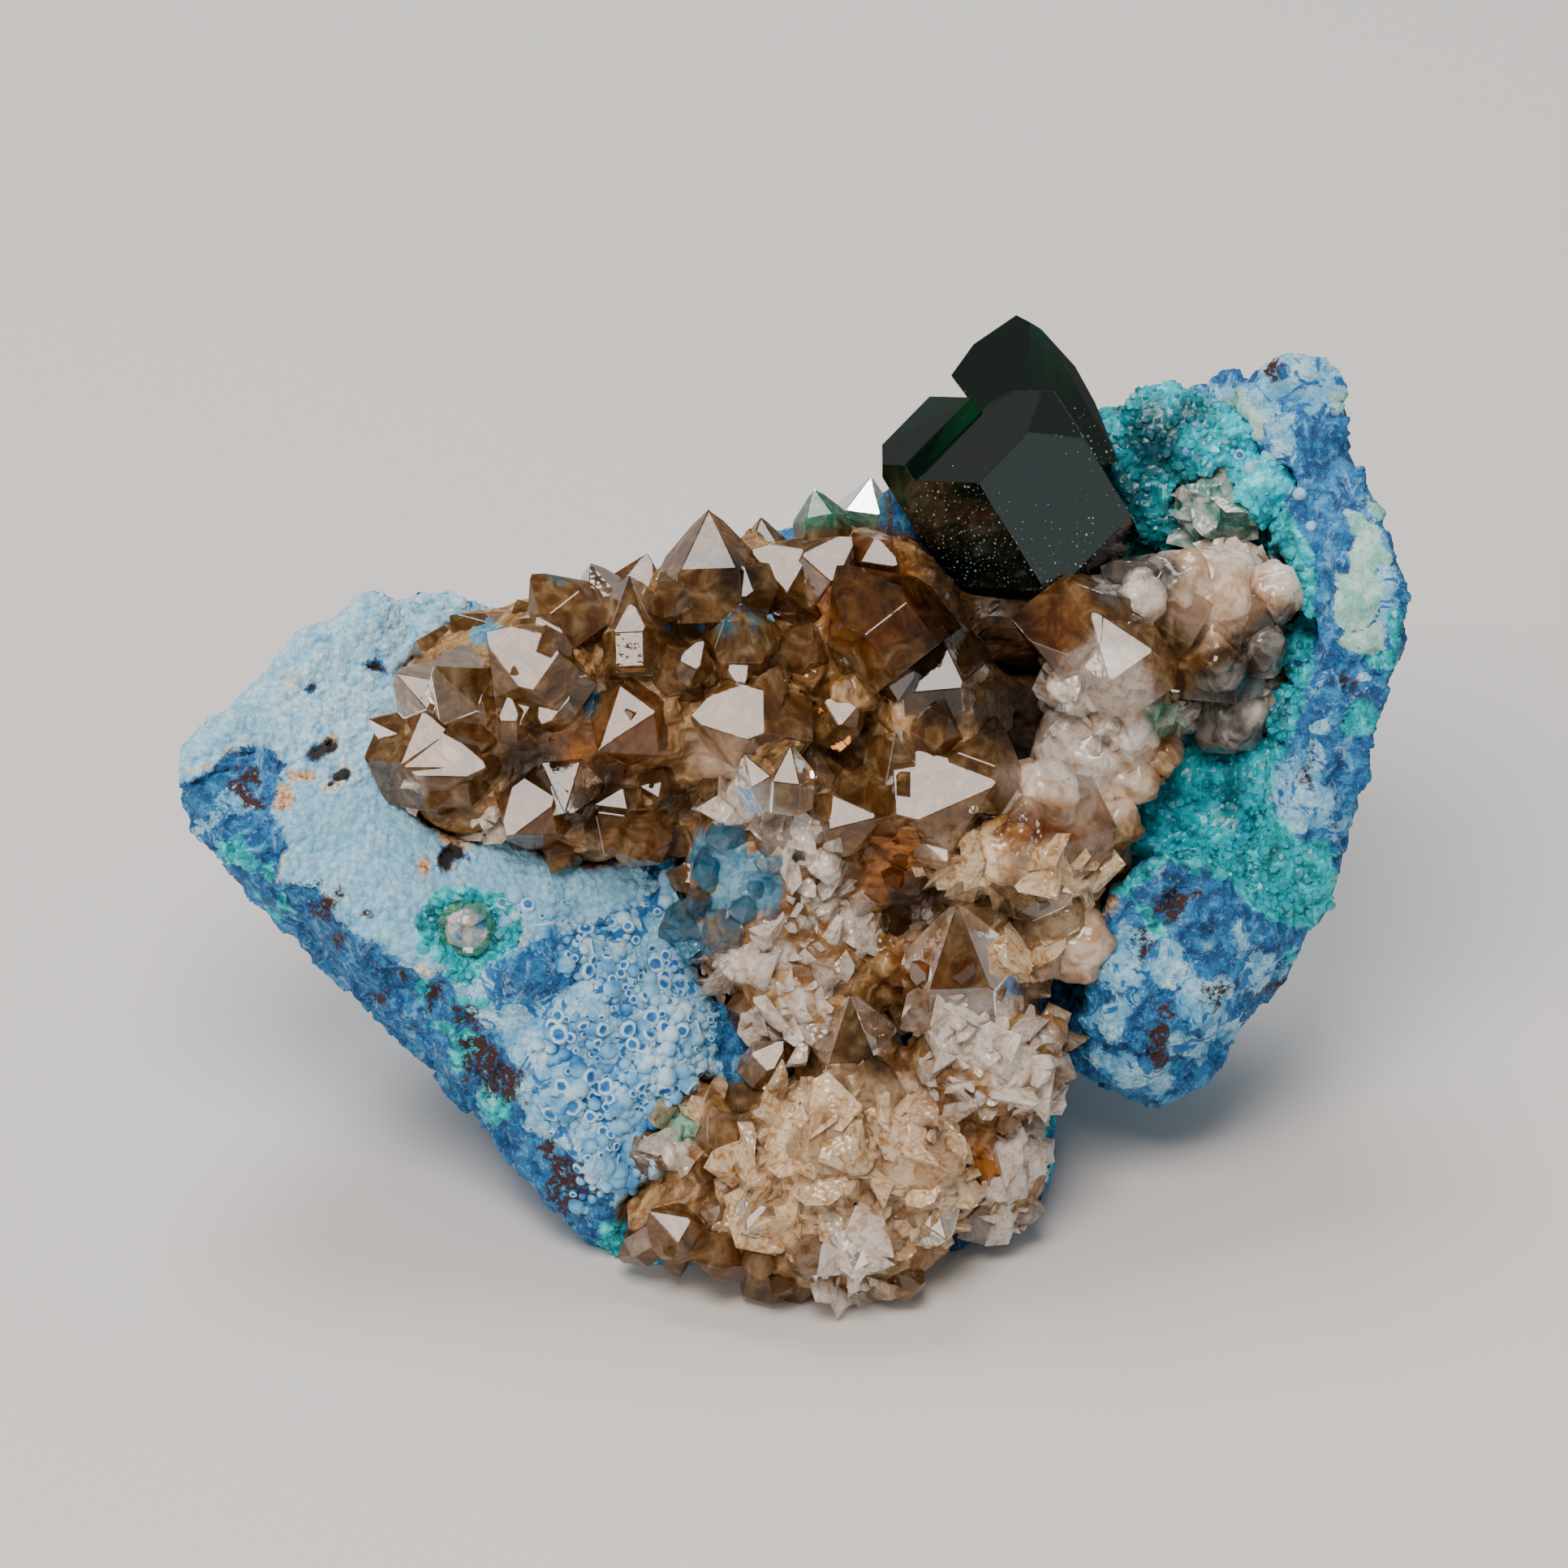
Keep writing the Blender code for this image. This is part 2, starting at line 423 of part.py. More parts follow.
def druse_shape(patches, grow=0.0):
    """A teal crust: low patches and the small points on them."""
    bm = bmesh.new()
    dice = random.Random(DRUSE_SEED)
    for seed, (right, up, out, along, deep) in enumerate(patches, PATCH_SEED):
        radii = (along, along, deep)
        add_lump(bm, (right, up, out), radii, DRUSE_ROUGHNESS, seed, grow, MOUND_ROOT)
    for count in range(DRUSE_POINT_COUNT):
        right, up, out, along, deep = patches[count % len(patches)]
        lean = math.radians(dice.uniform(*DRUSE_POINT_LEAN))
        way = math.radians(dice.uniform(0, 360))
        flat = math.sin(lean)
        axis = Vector((flat * math.cos(way), flat * math.sin(way), math.cos(lean)))
        width = dice.uniform(*DRUSE_POINT_WIDTH)
        foot = Vector((right, up, out)) + Vector((axis.x * along, axis.y * along, axis.z * deep))
        faces = quartz_faces(width, width * POINT_LENGTH, dice, grow)
        tip = foot + axis * width * DRUSE_POINT_STAND
        add_crystal(bm, faces, tip, axis_turn(axis, Vector((0.0, 1.0, 0.2))))
    return bm


def rock_shape():
    """The rock's blocks and round lumps, still overlapping."""
    bm = bmesh.new()
    for corners in ROCK_BLOCKS.values():
        add_hull(bm, corners)
    for right, up, out, radius in ROCK_LUMPS:
        add_lump(bm, (right, up, out), (radius,) * 3, 0.0, 0)
    return bm


def lone_shape(lump, grow=0.0):
    bm = bmesh.new()
    middle, radii, roughness, seed = lump
    add_lump(bm, middle, radii, roughness, seed, grow)
    return bm


def add_noise(target, name, pattern, basis):
    """Push the surface in and out by a cloud pattern of the given size and height."""
    size, strength = pattern
    texture = bpy.data.textures.new(name, "CLOUDS")
    texture.noise_scale = size * MM
    texture.noise_basis = basis
    texture.noise_depth = 1
    push = target.modifiers.new(name, "DISPLACE")
    push.texture = texture
    push.texture_coords = "LOCAL"
    push.strength = strength * MM
    push.mid_level = 0.5


def boolean(target, cutter, operation="DIFFERENCE"):
    cut = target.modifiers.new(operation.title() + " " + cutter.name, "BOOLEAN")
    cut.operation = operation
    cut.object = cutter
    cut.solver = "EXACT"
    cut.use_self = True              # the cutters' shapes cross each other


def thin_out(target, keep):
    thin = target.modifiers.new("Keep the main faces", "DECIMATE")
    thin.ratio = keep


def freeze(target):
    """Apply all the modifiers of an object and keep only its largest closed body."""
    depsgraph = bpy.context.evaluated_depsgraph_get()
    shape = bpy.data.meshes.new_from_object(target.evaluated_get(depsgraph))
    target.modifiers.clear()
    old = target.data
    target.data = shape
    bpy.data.meshes.remove(old)
    bm = bmesh.new()
    bm.from_mesh(shape)
    drop_chips(bm)
    bmesh.ops.triangulate(bm, faces=bm.faces)
    bm.to_mesh(shape)
    bm.free()


def drop_chips(bm):
    """Remove every loose chip, so that only the body with the most faces is left."""
    left = set(bm.faces)
    bodies = []
    while left:
        body = set()
        waiting = [left.pop()]
        while waiting:
            face = waiting.pop()
            body.add(face)
            for edge in face.edges:
                for other in edge.link_faces:
                    if other in left:
                        left.remove(other)
                        waiting.append(other)
        bodies.append(body)
    bodies.sort(key=len)
    chips = [face for body in bodies[:-1] for face in body]
    bmesh.ops.delete(bm, geom=chips, context="FACES")


def as_cutter(made):
    made.hide_render = True
    made.display_type = "WIRE"
    return made


def main():
    clear_scene()
    pieces = bpy.data.collections.new("dioptase_with_shattuckite")
    cutters = bpy.data.collections.new("cutters")
    for collection in (pieces, cutters):
        bpy.context.scene.collection.children.link(collection)

    # Everything hangs on one empty that leans the good face back
    pose = bpy.data.objects.new("standing_pose", None)
    pose.rotation_euler = Euler((math.radians(90) - FACE_LEAN, 0.0, 0.0))
    pose.location = (0.0, -FRONT_TO_MIDDLE * MM, 0.0)
    pieces.objects.link(pose)

    shattuckite = new_material("shattuckite", (0.16, 0.42, 0.60), 0.85)
    smoky_quartz = new_material("smoky quartz", (0.45, 0.30, 0.15), 0.12, 0.9)
    clear_quartz = new_material("clear quartz", (0.75, 0.70, 0.62), 0.15, 0.85)
    dioptase = new_material("dioptase", (0.01, 0.10, 0.07), 0.08, 0.95)
    teal_druse = new_material("teal dioptase druse", (0.01, 0.35, 0.30), 0.35)

    def piece(name, bm, material):
        made = object_from(name, bm, pieces, material)
        made.parent = pose
        return made

    def cutter(name, bm):
        made = as_cutter(object_from(name, bm, cutters))
        made.parent = pose
        return made

    below = bmesh.new()
    bmesh.ops.create_cube(below, size=1.0)
    bmesh.ops.scale(below, vec=(CUTTER_WIDTH, CUTTER_WIDTH, CUTTER_DEPTH), verts=below.verts)
    bmesh.ops.translate(below, vec=(0.0, 0.0, -CUTTER_DEPTH / 2), verts=below.verts)
    below_foot = as_cutter(object_from("below_foot", below, cutters))

    # Dioptase first, because its flat faces stay whole
    crystals = piece("dioptase_crystals", bmesh.new(), dioptase)
    boolean(crystals, cutter("dioptase_growths", dioptase_shape()), "UNION")
    dioptase_socket = cutter("dioptase_socket", dioptase_shape(CLEARANCE))

    # Quartz, with a socket for the dioptase
    cluster = piece("smoky_quartz_cluster", bmesh.new(), smoky_quartz)
    boolean(cluster, cutter("quartz_growths", quartz_shape()), "UNION")
    boolean(cluster, dioptase_socket)
    boolean(cluster, below_foot)
    quartz_socket = cutter("quartz_socket", quartz_shape(CLEARANCE))

    # Two lone pieces of quartz
    lump = piece("clear_quartz_lump", lone_shape(WALL_LUMP), clear_quartz)
    lump_socket = cutter("lump_socket", lone_shape(WALL_LUMP, CLEARANCE))
    boolean(lump, quartz_socket)
    bead = piece("rimmed_quartz_bead", lone_shape(RIMMED_BEAD), clear_quartz)
    bead_socket = cutter("bead_socket", lone_shape(RIMMED_BEAD, CLEARANCE))
    boolean(bead, quartz_socket)

    # The teal crusts give way to all of these
    crusts = []
    crust_sockets = []
    for name, patches in DRUSE_PATCHES.items():
        crust = piece(name, bmesh.new(), teal_druse)
        boolean(crust, cutter(name + "_growths", druse_shape(patches)), "UNION")
        for socket in (dioptase_socket, quartz_socket, lump_socket):
            boolean(crust, socket)
        crusts.append(crust)
        crust_sockets.append(cutter(name + "_socket", druse_shape(patches, CLEARANCE)))

    # The rock last: fused, roughened, thinned out, then cut for all that sits in it
    rock = piece("shattuckite_matrix", rock_shape(), shattuckite)
    fuse = rock.modifiers.new("Fuse the blocks", "REMESH")
    fuse.mode = "VOXEL"
    fuse.voxel_size = ROCK_VOXEL * MM
    add_noise(rock, "Broken hollows", BROKEN_HOLLOWS, "ORIGINAL_PERLIN")
    add_noise(rock, "Small lumps", SMALL_LUMPS, "VORONOI_F1")
    thin_out(rock, ROCK_KEEP)
    freeze(rock)
    for socket in (quartz_socket, dioptase_socket, lump_socket, bead_socket, *crust_sockets):
        boolean(rock, socket)
    boolean(rock, below_foot)

    thin_out(cluster, CLUSTER_KEEP)
    thin_out(rock, SOCKET_KEEP)
    for crust in crusts:
        thin_out(crust, CRUST_KEEP)
    for made in (crystals, cluster, lump, bead, *crusts, rock):
        freeze(made)
    print({made.name: len(made.data.polygons) for made in pieces.objects if made.type == "MESH"})


main()
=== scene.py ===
# %% [markdown]
# # Dioptase with shattuckite, as a surface that looks real
#
# A cabinet mineral specimen: a broken block of pale and deep blue shattuckite, a
# cluster of smoky quartz points grown in its hollow, dark green dioptase crystals at
# the top, and a teal crust of tiny dioptase crystals on the right. The solids of the
# part give the place and size of everything. This lesson gives them their surfaces:
# the fine round skin of the blue rock, clear quartz that lets the brown rock show
# through, and glassy green dioptase.

# %% Load the fixed frame
import json
import math
import random

import bmesh
import bpy
import numpy as np
from mathutils import Matrix, Vector, noise
from mathutils.bvhtree import BVHTree

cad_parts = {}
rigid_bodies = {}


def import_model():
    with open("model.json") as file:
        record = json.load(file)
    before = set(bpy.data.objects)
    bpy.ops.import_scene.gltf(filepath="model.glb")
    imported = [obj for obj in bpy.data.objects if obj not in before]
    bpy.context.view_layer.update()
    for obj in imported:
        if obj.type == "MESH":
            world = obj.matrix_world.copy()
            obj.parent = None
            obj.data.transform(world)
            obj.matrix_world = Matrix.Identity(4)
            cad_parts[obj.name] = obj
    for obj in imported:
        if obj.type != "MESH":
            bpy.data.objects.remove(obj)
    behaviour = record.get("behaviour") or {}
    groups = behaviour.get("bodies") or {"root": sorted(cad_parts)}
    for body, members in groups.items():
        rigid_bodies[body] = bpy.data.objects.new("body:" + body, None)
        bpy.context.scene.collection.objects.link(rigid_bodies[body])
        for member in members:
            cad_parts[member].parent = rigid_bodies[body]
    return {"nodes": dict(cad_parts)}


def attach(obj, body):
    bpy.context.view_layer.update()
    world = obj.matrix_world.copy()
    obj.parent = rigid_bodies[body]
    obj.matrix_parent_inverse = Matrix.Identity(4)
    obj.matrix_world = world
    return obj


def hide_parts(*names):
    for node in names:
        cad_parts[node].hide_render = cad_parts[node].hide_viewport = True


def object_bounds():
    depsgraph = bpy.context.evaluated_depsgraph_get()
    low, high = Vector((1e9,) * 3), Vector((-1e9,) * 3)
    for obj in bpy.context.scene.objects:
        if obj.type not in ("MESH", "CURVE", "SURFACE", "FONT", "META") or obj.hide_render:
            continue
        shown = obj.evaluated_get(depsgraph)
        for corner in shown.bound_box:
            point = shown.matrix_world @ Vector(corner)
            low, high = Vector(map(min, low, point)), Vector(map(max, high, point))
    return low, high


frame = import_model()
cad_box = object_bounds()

print("solids:", sorted(frame["nodes"]))
print("size in mm:", [round(1000 * (high - low), 1) for low, high in zip(*cad_box)])

# %% [markdown]
# ## A face that leans back
# The specimen shows one good face, and that face leans back by 35 degrees. Places on
# it are easy to measure as right, up and out, square onto the face and in millimetres.
# World coordinates would work too, but then every place would need three numbers that
# nobody can check by eye. So one function turns face coordinates into world ones.

# %% From the leaning face to the world
MM = 0.001
FACE_LEAN = math.radians(35.0)
FRONT_TO_MIDDLE = 21.0
FACE_RIGHT = Vector((1.0, 0.0, 0.0))
FACE_UP = Vector((0.0, math.sin(FACE_LEAN), math.cos(FACE_LEAN)))
FACE_OUT = Vector((0.0, -math.cos(FACE_LEAN), math.sin(FACE_LEAN)))
FACE_TURN = Matrix((FACE_RIGHT, FACE_UP, FACE_OUT)).transposed()
FACE_ORIGIN = Vector((0.0, -FRONT_TO_MIDDLE, 0.0))


def on_face(right, up, out):
    """A place on the good face, in millimetres, as a world point in metres."""
    return (FACE_ORIGIN + FACE_TURN @ Vector((right, up, out))) * MM


def points_of(mesh, what="co"):
    """The places of a mesh's points, or the ways they face, as an array."""
    points = np.zeros(len(mesh.vertices) * 3)
    mesh.vertices.foreach_get(what, points)
    return points.reshape(-1, 3)


def face_places(mesh):
    """Right, up and out of every point of a mesh, in millimetres."""
    return (points_of(mesh) / MM - np.array(FACE_ORIGIN)) @ np.array(FACE_TURN)


print("front tip of the foot:", tuple(round(value, 4) for value in on_face(0, 0, 0)))

# %% [markdown]
# ## Camera, floor and light
# The photo looks square onto the leaning face, so the camera looks down by 35 degrees
# through a long lens, which keeps the crystals free of perspective. The floor is plain
# and pale. The key light is a large softbox high in front, placed where the bright
# pyramid faces of the quartz mirror it into the camera. A wide fill on each side, a soft
# light from the top and an even, dim room do the rest. A ring of small lamps would also
# light it, but would give every facet a hard spot.

# %% Aim the camera
LENS = 300.0                    # millimetres, a long lens
VIEW_WIDTH = 96.6               # millimetres of the face that fill the frame
VIEW_MIDDLE = (-0.2, 32.2)      # right and up of the middle of the frame


def add_object(name, data):
    made = bpy.data.objects.new(name, data)
    bpy.context.scene.collection.objects.link(made)
    return made


camera_data = bpy.data.cameras.new("camera")
camera_data.lens = LENS
camera_distance = VIEW_WIDTH * LENS / camera_data.sensor_width
camera_data.clip_start = 0.01
camera_data.clip_end = 20.0
camera = add_object("camera", camera_data)
camera.location = on_face(*VIEW_MIDDLE, camera_distance)
camera.rotation_euler = (math.radians(90.0) - FACE_LEAN, 0.0, 0.0)
bpy.context.scene.camera = camera
print("camera is", round(camera_distance), "mm from the face")

# %% One function for every colour, one for every node
KINDS = {                       # Blender's name of a node, its settings, its inputs, its result
    "place": ("ShaderNodeTexCoord", {}, (), "Object"),
    "stored": ("ShaderNodeAttribute", {}, (), "Fac"),
    "noise": ("ShaderNodeTexNoise", {}, ("Vector", "Scale", "Detail", "Roughness", "Distortion"), "Fac"),
    "cells": ("ShaderNodeTexVoronoi", {}, ("Vector", "Scale", "Randomness"), "Distance"),
    "stretch": ("ShaderNodeMapping", {}, ("Vector", "Scale"), 0),
    "ramp": ("ShaderNodeValToRGB", {}, ("Fac",), 0),
    "range": ("ShaderNodeMapRange", {}, ("Value", "From Min", "From Max", "To Min", "To Max"), 0),
    "step": ("ShaderNodeMapRange", {"interpolation_type": "SMOOTHSTEP"},
             ("Value", "From Min", "From Max"), 0),
    "mix": ("ShaderNodeMix", {"data_type": "RGBA"}, (0, 6, 7), 2),
    "bump": ("ShaderNodeBump", {}, ("Strength", "Distance", "Height", "Normal"), 0),
    "absorption": ("ShaderNodeVolumeAbsorption", {}, ("Color", "Density"), 0),
}
for word, operation in (
        ("plus", "ADD"), ("minus", "SUBTRACT"), ("times", "MULTIPLY"), ("over", "DIVIDE"),
        ("power", "POWER"), ("times_plus", "MULTIPLY_ADD")):
    KINDS[word] = ("ShaderNodeMath", {"operation": operation}, (0, 1, 2), 0)


def srgb(code, alpha=1.0):
    """An sRGB hex value such as A9D3E6 as a linear colour."""
    parts = [int(code[place:place + 2], 16) / 255.0 for place in (0, 2, 4)]
    linear = [part / 12.92 if part <= 0.04045 else ((part + 0.055) / 1.055) ** 2.4 for part in parts]
    return (*linear, alpha)


def plug(tree, name, inputs):
    """Fill a node's inputs. One given as a socket is linked, any other is a value."""
    node = tree.nodes[name]
    for socket, value in inputs.items():
        if isinstance(value, bpy.types.NodeSocket):
            tree.links.new(value, node.inputs[socket])
        elif value is not None:
            node.inputs[socket].default_value = value


def add(tree, kind, *values, stops=(), **settings):
    """Add one node of a kind from the list with its inputs in order, and give its result."""
    blender_name, usual, sockets, result = KINDS[kind]
    node = tree.nodes.new(blender_name)
    for name, value in {**usual, **settings}.items():
        setattr(node, name, value)
    plug(tree, node.name, dict(zip(sockets, values)))
    for count, (place, colour) in enumerate(stops):
        ramp = node.color_ramp
        stop = ramp.elements[count] if count < 2 else ramp.elements.new(place)
        stop.position = place
        stop.color = srgb(colour)
    return node.outputs[result]


print("kinds of nodes:", len(KINDS))
print("pale shattuckite in linear light:", [round(part, 3) for part in srgb("A9D3E6")])

# %% Lay the floor
FLOOR_SIZE = 4.0                # metres


def written(shape, target):
    """Write a shape to a mesh, or to a new one of the given name, and free it."""
    mesh = bpy.data.meshes.new(target) if isinstance(target, str) else target
    shape.to_mesh(mesh)
    shape.free()
    return mesh


def new_finish(name):
    material = bpy.data.materials.new(name)
    material.use_nodes = True
    return material, material.node_tree


floor_shape = bmesh.new()
bmesh.ops.create_grid(floor_shape, x_segments=1, y_segments=1, size=FLOOR_SIZE / 2)
floor = add_object("floor", written(floor_shape, "floor"))
paper, paper_tree = new_finish("matt pale paper")
plug(paper_tree, "Principled BSDF", {"Base Color": srgb("DEDDDB"), "Roughness": 0.9})
floor.data.materials.append(paper)
print("floor:", FLOOR_SIZE, "m square, in", paper.name)

# %% Hang the lights
OBJECT_MIDDLE = on_face(0.0, 30.0, -6.0)


def add_softbox(name, way, distance, size, watts, colour="FFFFFF"):
    """A square softbox that lies along a way (right, up, out) from the specimen."""
    light = bpy.data.lights.new(name, "AREA")
    light.shape = "SQUARE"
    light.size = size
    light.energy = watts
    light.color = srgb(colour)[:3]
    lamp = add_object(name, light)
    arm = FACE_TURN @ Vector(way).normalized()
    lamp.location = OBJECT_MIDDLE + arm * distance
    lamp.rotation_euler = arm.to_track_quat("Z", "Y").to_euler()


add_softbox("key softbox", (-0.10, 0.47, 0.88), 0.62, 0.27, 3.4, "FFF1E8")
add_softbox("left fill", (-0.80, -0.10, 0.60), 0.80, 0.50, 2.6, "FFF4EC")
add_softbox("right fill", (0.88, -0.05, 0.47), 0.80, 0.50, 0.5, "D4F0F4")
add_softbox("top light", (-0.10, 0.98, 0.12), 0.80, 0.35, 3.6)
world = bpy.data.worlds.new("dim room")
world.use_nodes = True
plug(world.node_tree, "Background", {"Color": srgb("D2CDCA"), "Strength": 0.36})
bpy.context.scene.world = world

# %% [markdown]
# ## Tools for shaping
# A few helpers come before the pieces. A solid of the frame is never changed, so each
# surface starts from a copy whose loose triangles are merged. Modifiers are applied by
# reading the evaluated object.

# %% Copy a solid, apply its modifiers, keep it in the box
MERGE_GAP = 0.000001            # metres between corners that are one corner
SLIVER = 0.01                   # edges shorter than this only slow the remesh down
FACE_TO_WORLD = Matrix.Scale(MM, 4) @ Matrix.Translation(FACE_ORIGIN) @ FACE_TURN.to_4x4()
BOX_LOW, BOX_HIGH = [np.array(corner) for corner in cad_box]


def opened(*meshes):
    """The shape of one or more meshes, open for editing."""
    shape = bmesh.new()
    for mesh in meshes:
        shape.from_mesh(mesh)
    return shape


def copy_solid(name, *nodes):
    """The merged shape of some of the frame's solids, as a new piece."""
    shape = opened(*(frame["nodes"][node].data for node in nodes))
    bmesh.ops.remove_doubles(shape, verts=shape.verts, dist=MERGE_GAP)
    return add_object(name, written(shape, name))


def face_piece(name, shapes):
    """One piece from shapes that were made in millimetres of the face."""
    mesh = bpy.data.meshes.new(name)
    whole = bmesh.new()
    for shape in shapes:
        whole.from_mesh(written(shape, mesh))
    bmesh.ops.transform(whole, matrix=FACE_TO_WORLD, verts=whole.verts)
    bmesh.ops.recalc_face_normals(whole, faces=whole.faces)
    return add_object(name, written(whole, mesh))


def bake(piece):
    """Replace a piece's mesh by what its modifiers make of it."""
    depsgraph = bpy.context.evaluated_depsgraph_get()
    mesh = bpy.data.meshes.new_from_object(piece.evaluated_get(depsgraph))
    piece.modifiers.clear()
    piece.data = mesh
    return mesh


def remeshed(piece, voxel, smoothing):
    """Turn a piece into even small faces and round off its flat cuts."""
    shape = opened(piece.data)
    bmesh.ops.dissolve_degenerate(shape, edges=shape.edges, dist=SLIVER * MM)
    written(shape, piece.data)
    even = piece.modifiers.new("even faces", "REMESH")
    even.mode = "VOXEL"
    even.voxel_size = voxel * MM
    soft = piece.modifiers.new("round off", "SMOOTH")
    soft.factor = 0.5
    soft.iterations = smoothing
    return bake(piece)


def move_points(mesh, points):
    mesh.vertices.foreach_set("co", points.ravel())
    mesh.update()


def push_out(mesh, height):
    """Move each point along its normal by what a function of its place in mm gives."""
    points = points_of(mesh)
    heights = np.array([height(Vector(point)) for point in points / MM])
    move_points(mesh, points + points_of(mesh, "normal") * heights[:, None] * MM)


def finish_piece(piece, finish, slot, *replaced):
    """Dress a piece, hold it inside the box of the solids, attach it to the root and hide the solids it
    replaces.
    """
    piece.data.materials.clear()
    piece.data.materials.append(finish)
    move_points(piece.data, np.clip(points_of(piece.data), BOX_LOW, BOX_HIGH))
    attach(piece, "root")
    if replaced:
        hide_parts(*replaced)
    triangles = sum(len(face.vertices) - 2 for face in piece.data.polygons)
    print(f"{piece.name}: {triangles} triangles")


# %% Find how far out the quartz stands
RAY_START = 60.0                # millimetres out of the face, in front of everything

quartz_shape = opened(frame["nodes"]["smoky_quartz_cluster"].data)
quartz_tree = BVHTree.FromBMesh(quartz_shape)
quartz_shape.free()


def quartz_out(right, up):
    """How far out of the face the solid quartz lies at a place, seen from the front."""
    hit = quartz_tree.ray_cast(on_face(right, up, RAY_START), -FACE_OUT)[0]
    return 0.0 if hit is None else (FACE_TURN.transposed() @ (hit / MM - FACE_ORIGIN)).z


print("quartz lies", round(quartz_out(0.0, 35.0), 1), "mm out at the middle")

# %% [markdown]
# ## Where the colours of the rock lie
# Shattuckite is pale blue where its skin of tiny round needles is whole, and deep blue
# where it is broken. The border between the two is sharp and ragged. Painting it into
# an image would fix its sharpness. Instead each point of the mesh stores how many
# millimetres it lies inside a colour's outline, and the material makes the border
# ragged with fine noise, so it stays crisp however close the camera comes.

# %% Outlines and spots of colour, right and up in millimetres
WING_SKIN = [
    (-38.5, 32.0), (-37.0, 32.3), (-35.6, 33.2), (-34.4, 34.2), (-32.2, 34.4), (-30.8, 33.4),
    (-31.4, 31.6), (-31.7, 30.1), (-30.8, 28.4), (-31.2, 26.2), (-28.8, 26.0), (-27.8, 24.0),
    (-26.4, 23.2), (-24.8, 22.2), (-22.2, 20.6), (-20.6, 21.0), (-17.6, 21.9), (-15.1, 22.6),
    (-12.0, 23.3), (-8.0, 26.0), (-14.0, 30.0), (-18.0, 44.0), (-30.0, 44.0), (-38.5, 36.0),
]
FLANK = [
    (-22.4, 20.7), (-20.0, 19.0), (-19.4, 17.4), (-17.8, 16.6), (-16.6, 14.4), (-17.2, 13.2),
    (-15.8, 10.8), (-13.6, 9.2), (-11.8, 7.6), (-10.4, 5.8), (-6.0, 6.0), (-4.0, 14.0),
    (-6.0, 28.0), (-10.5, 24.6), (-12.0, 23.3), (-15.1, 22.6), (-17.6, 21.9), (-20.6, 21.0),
]
DEEP_TONGUE = [
    (-17.8, 21.2), (-14.6, 22.9), (-10.7, 23.1), (-11.5, 21.7), (-13.3, 19.9), (-15.1, 19.0),
    (-17.8, 18.8),
]
TEAL_HOLLOW = [
    (18.0, 56.4), (26.5, 56.4), (28.2, 52.8), (30.2, 50.6), (32.4, 46.4), (32.6, 41.2),
    (31.6, 36.4), (30.6, 34.2), (29.8, 31.4), (31.6, 28.6), (33.6, 28.8), (34.2, 25.6),
    (32.6, 23.2), (29.8, 23.8), (27.4, 26.2), (23.6, 27.2), (20.4, 25.2), (18.0, 25.4),
    (18.0, 34.0), (24.0, 42.0), (14.0, 48.0), (13.0, 56.0),
]
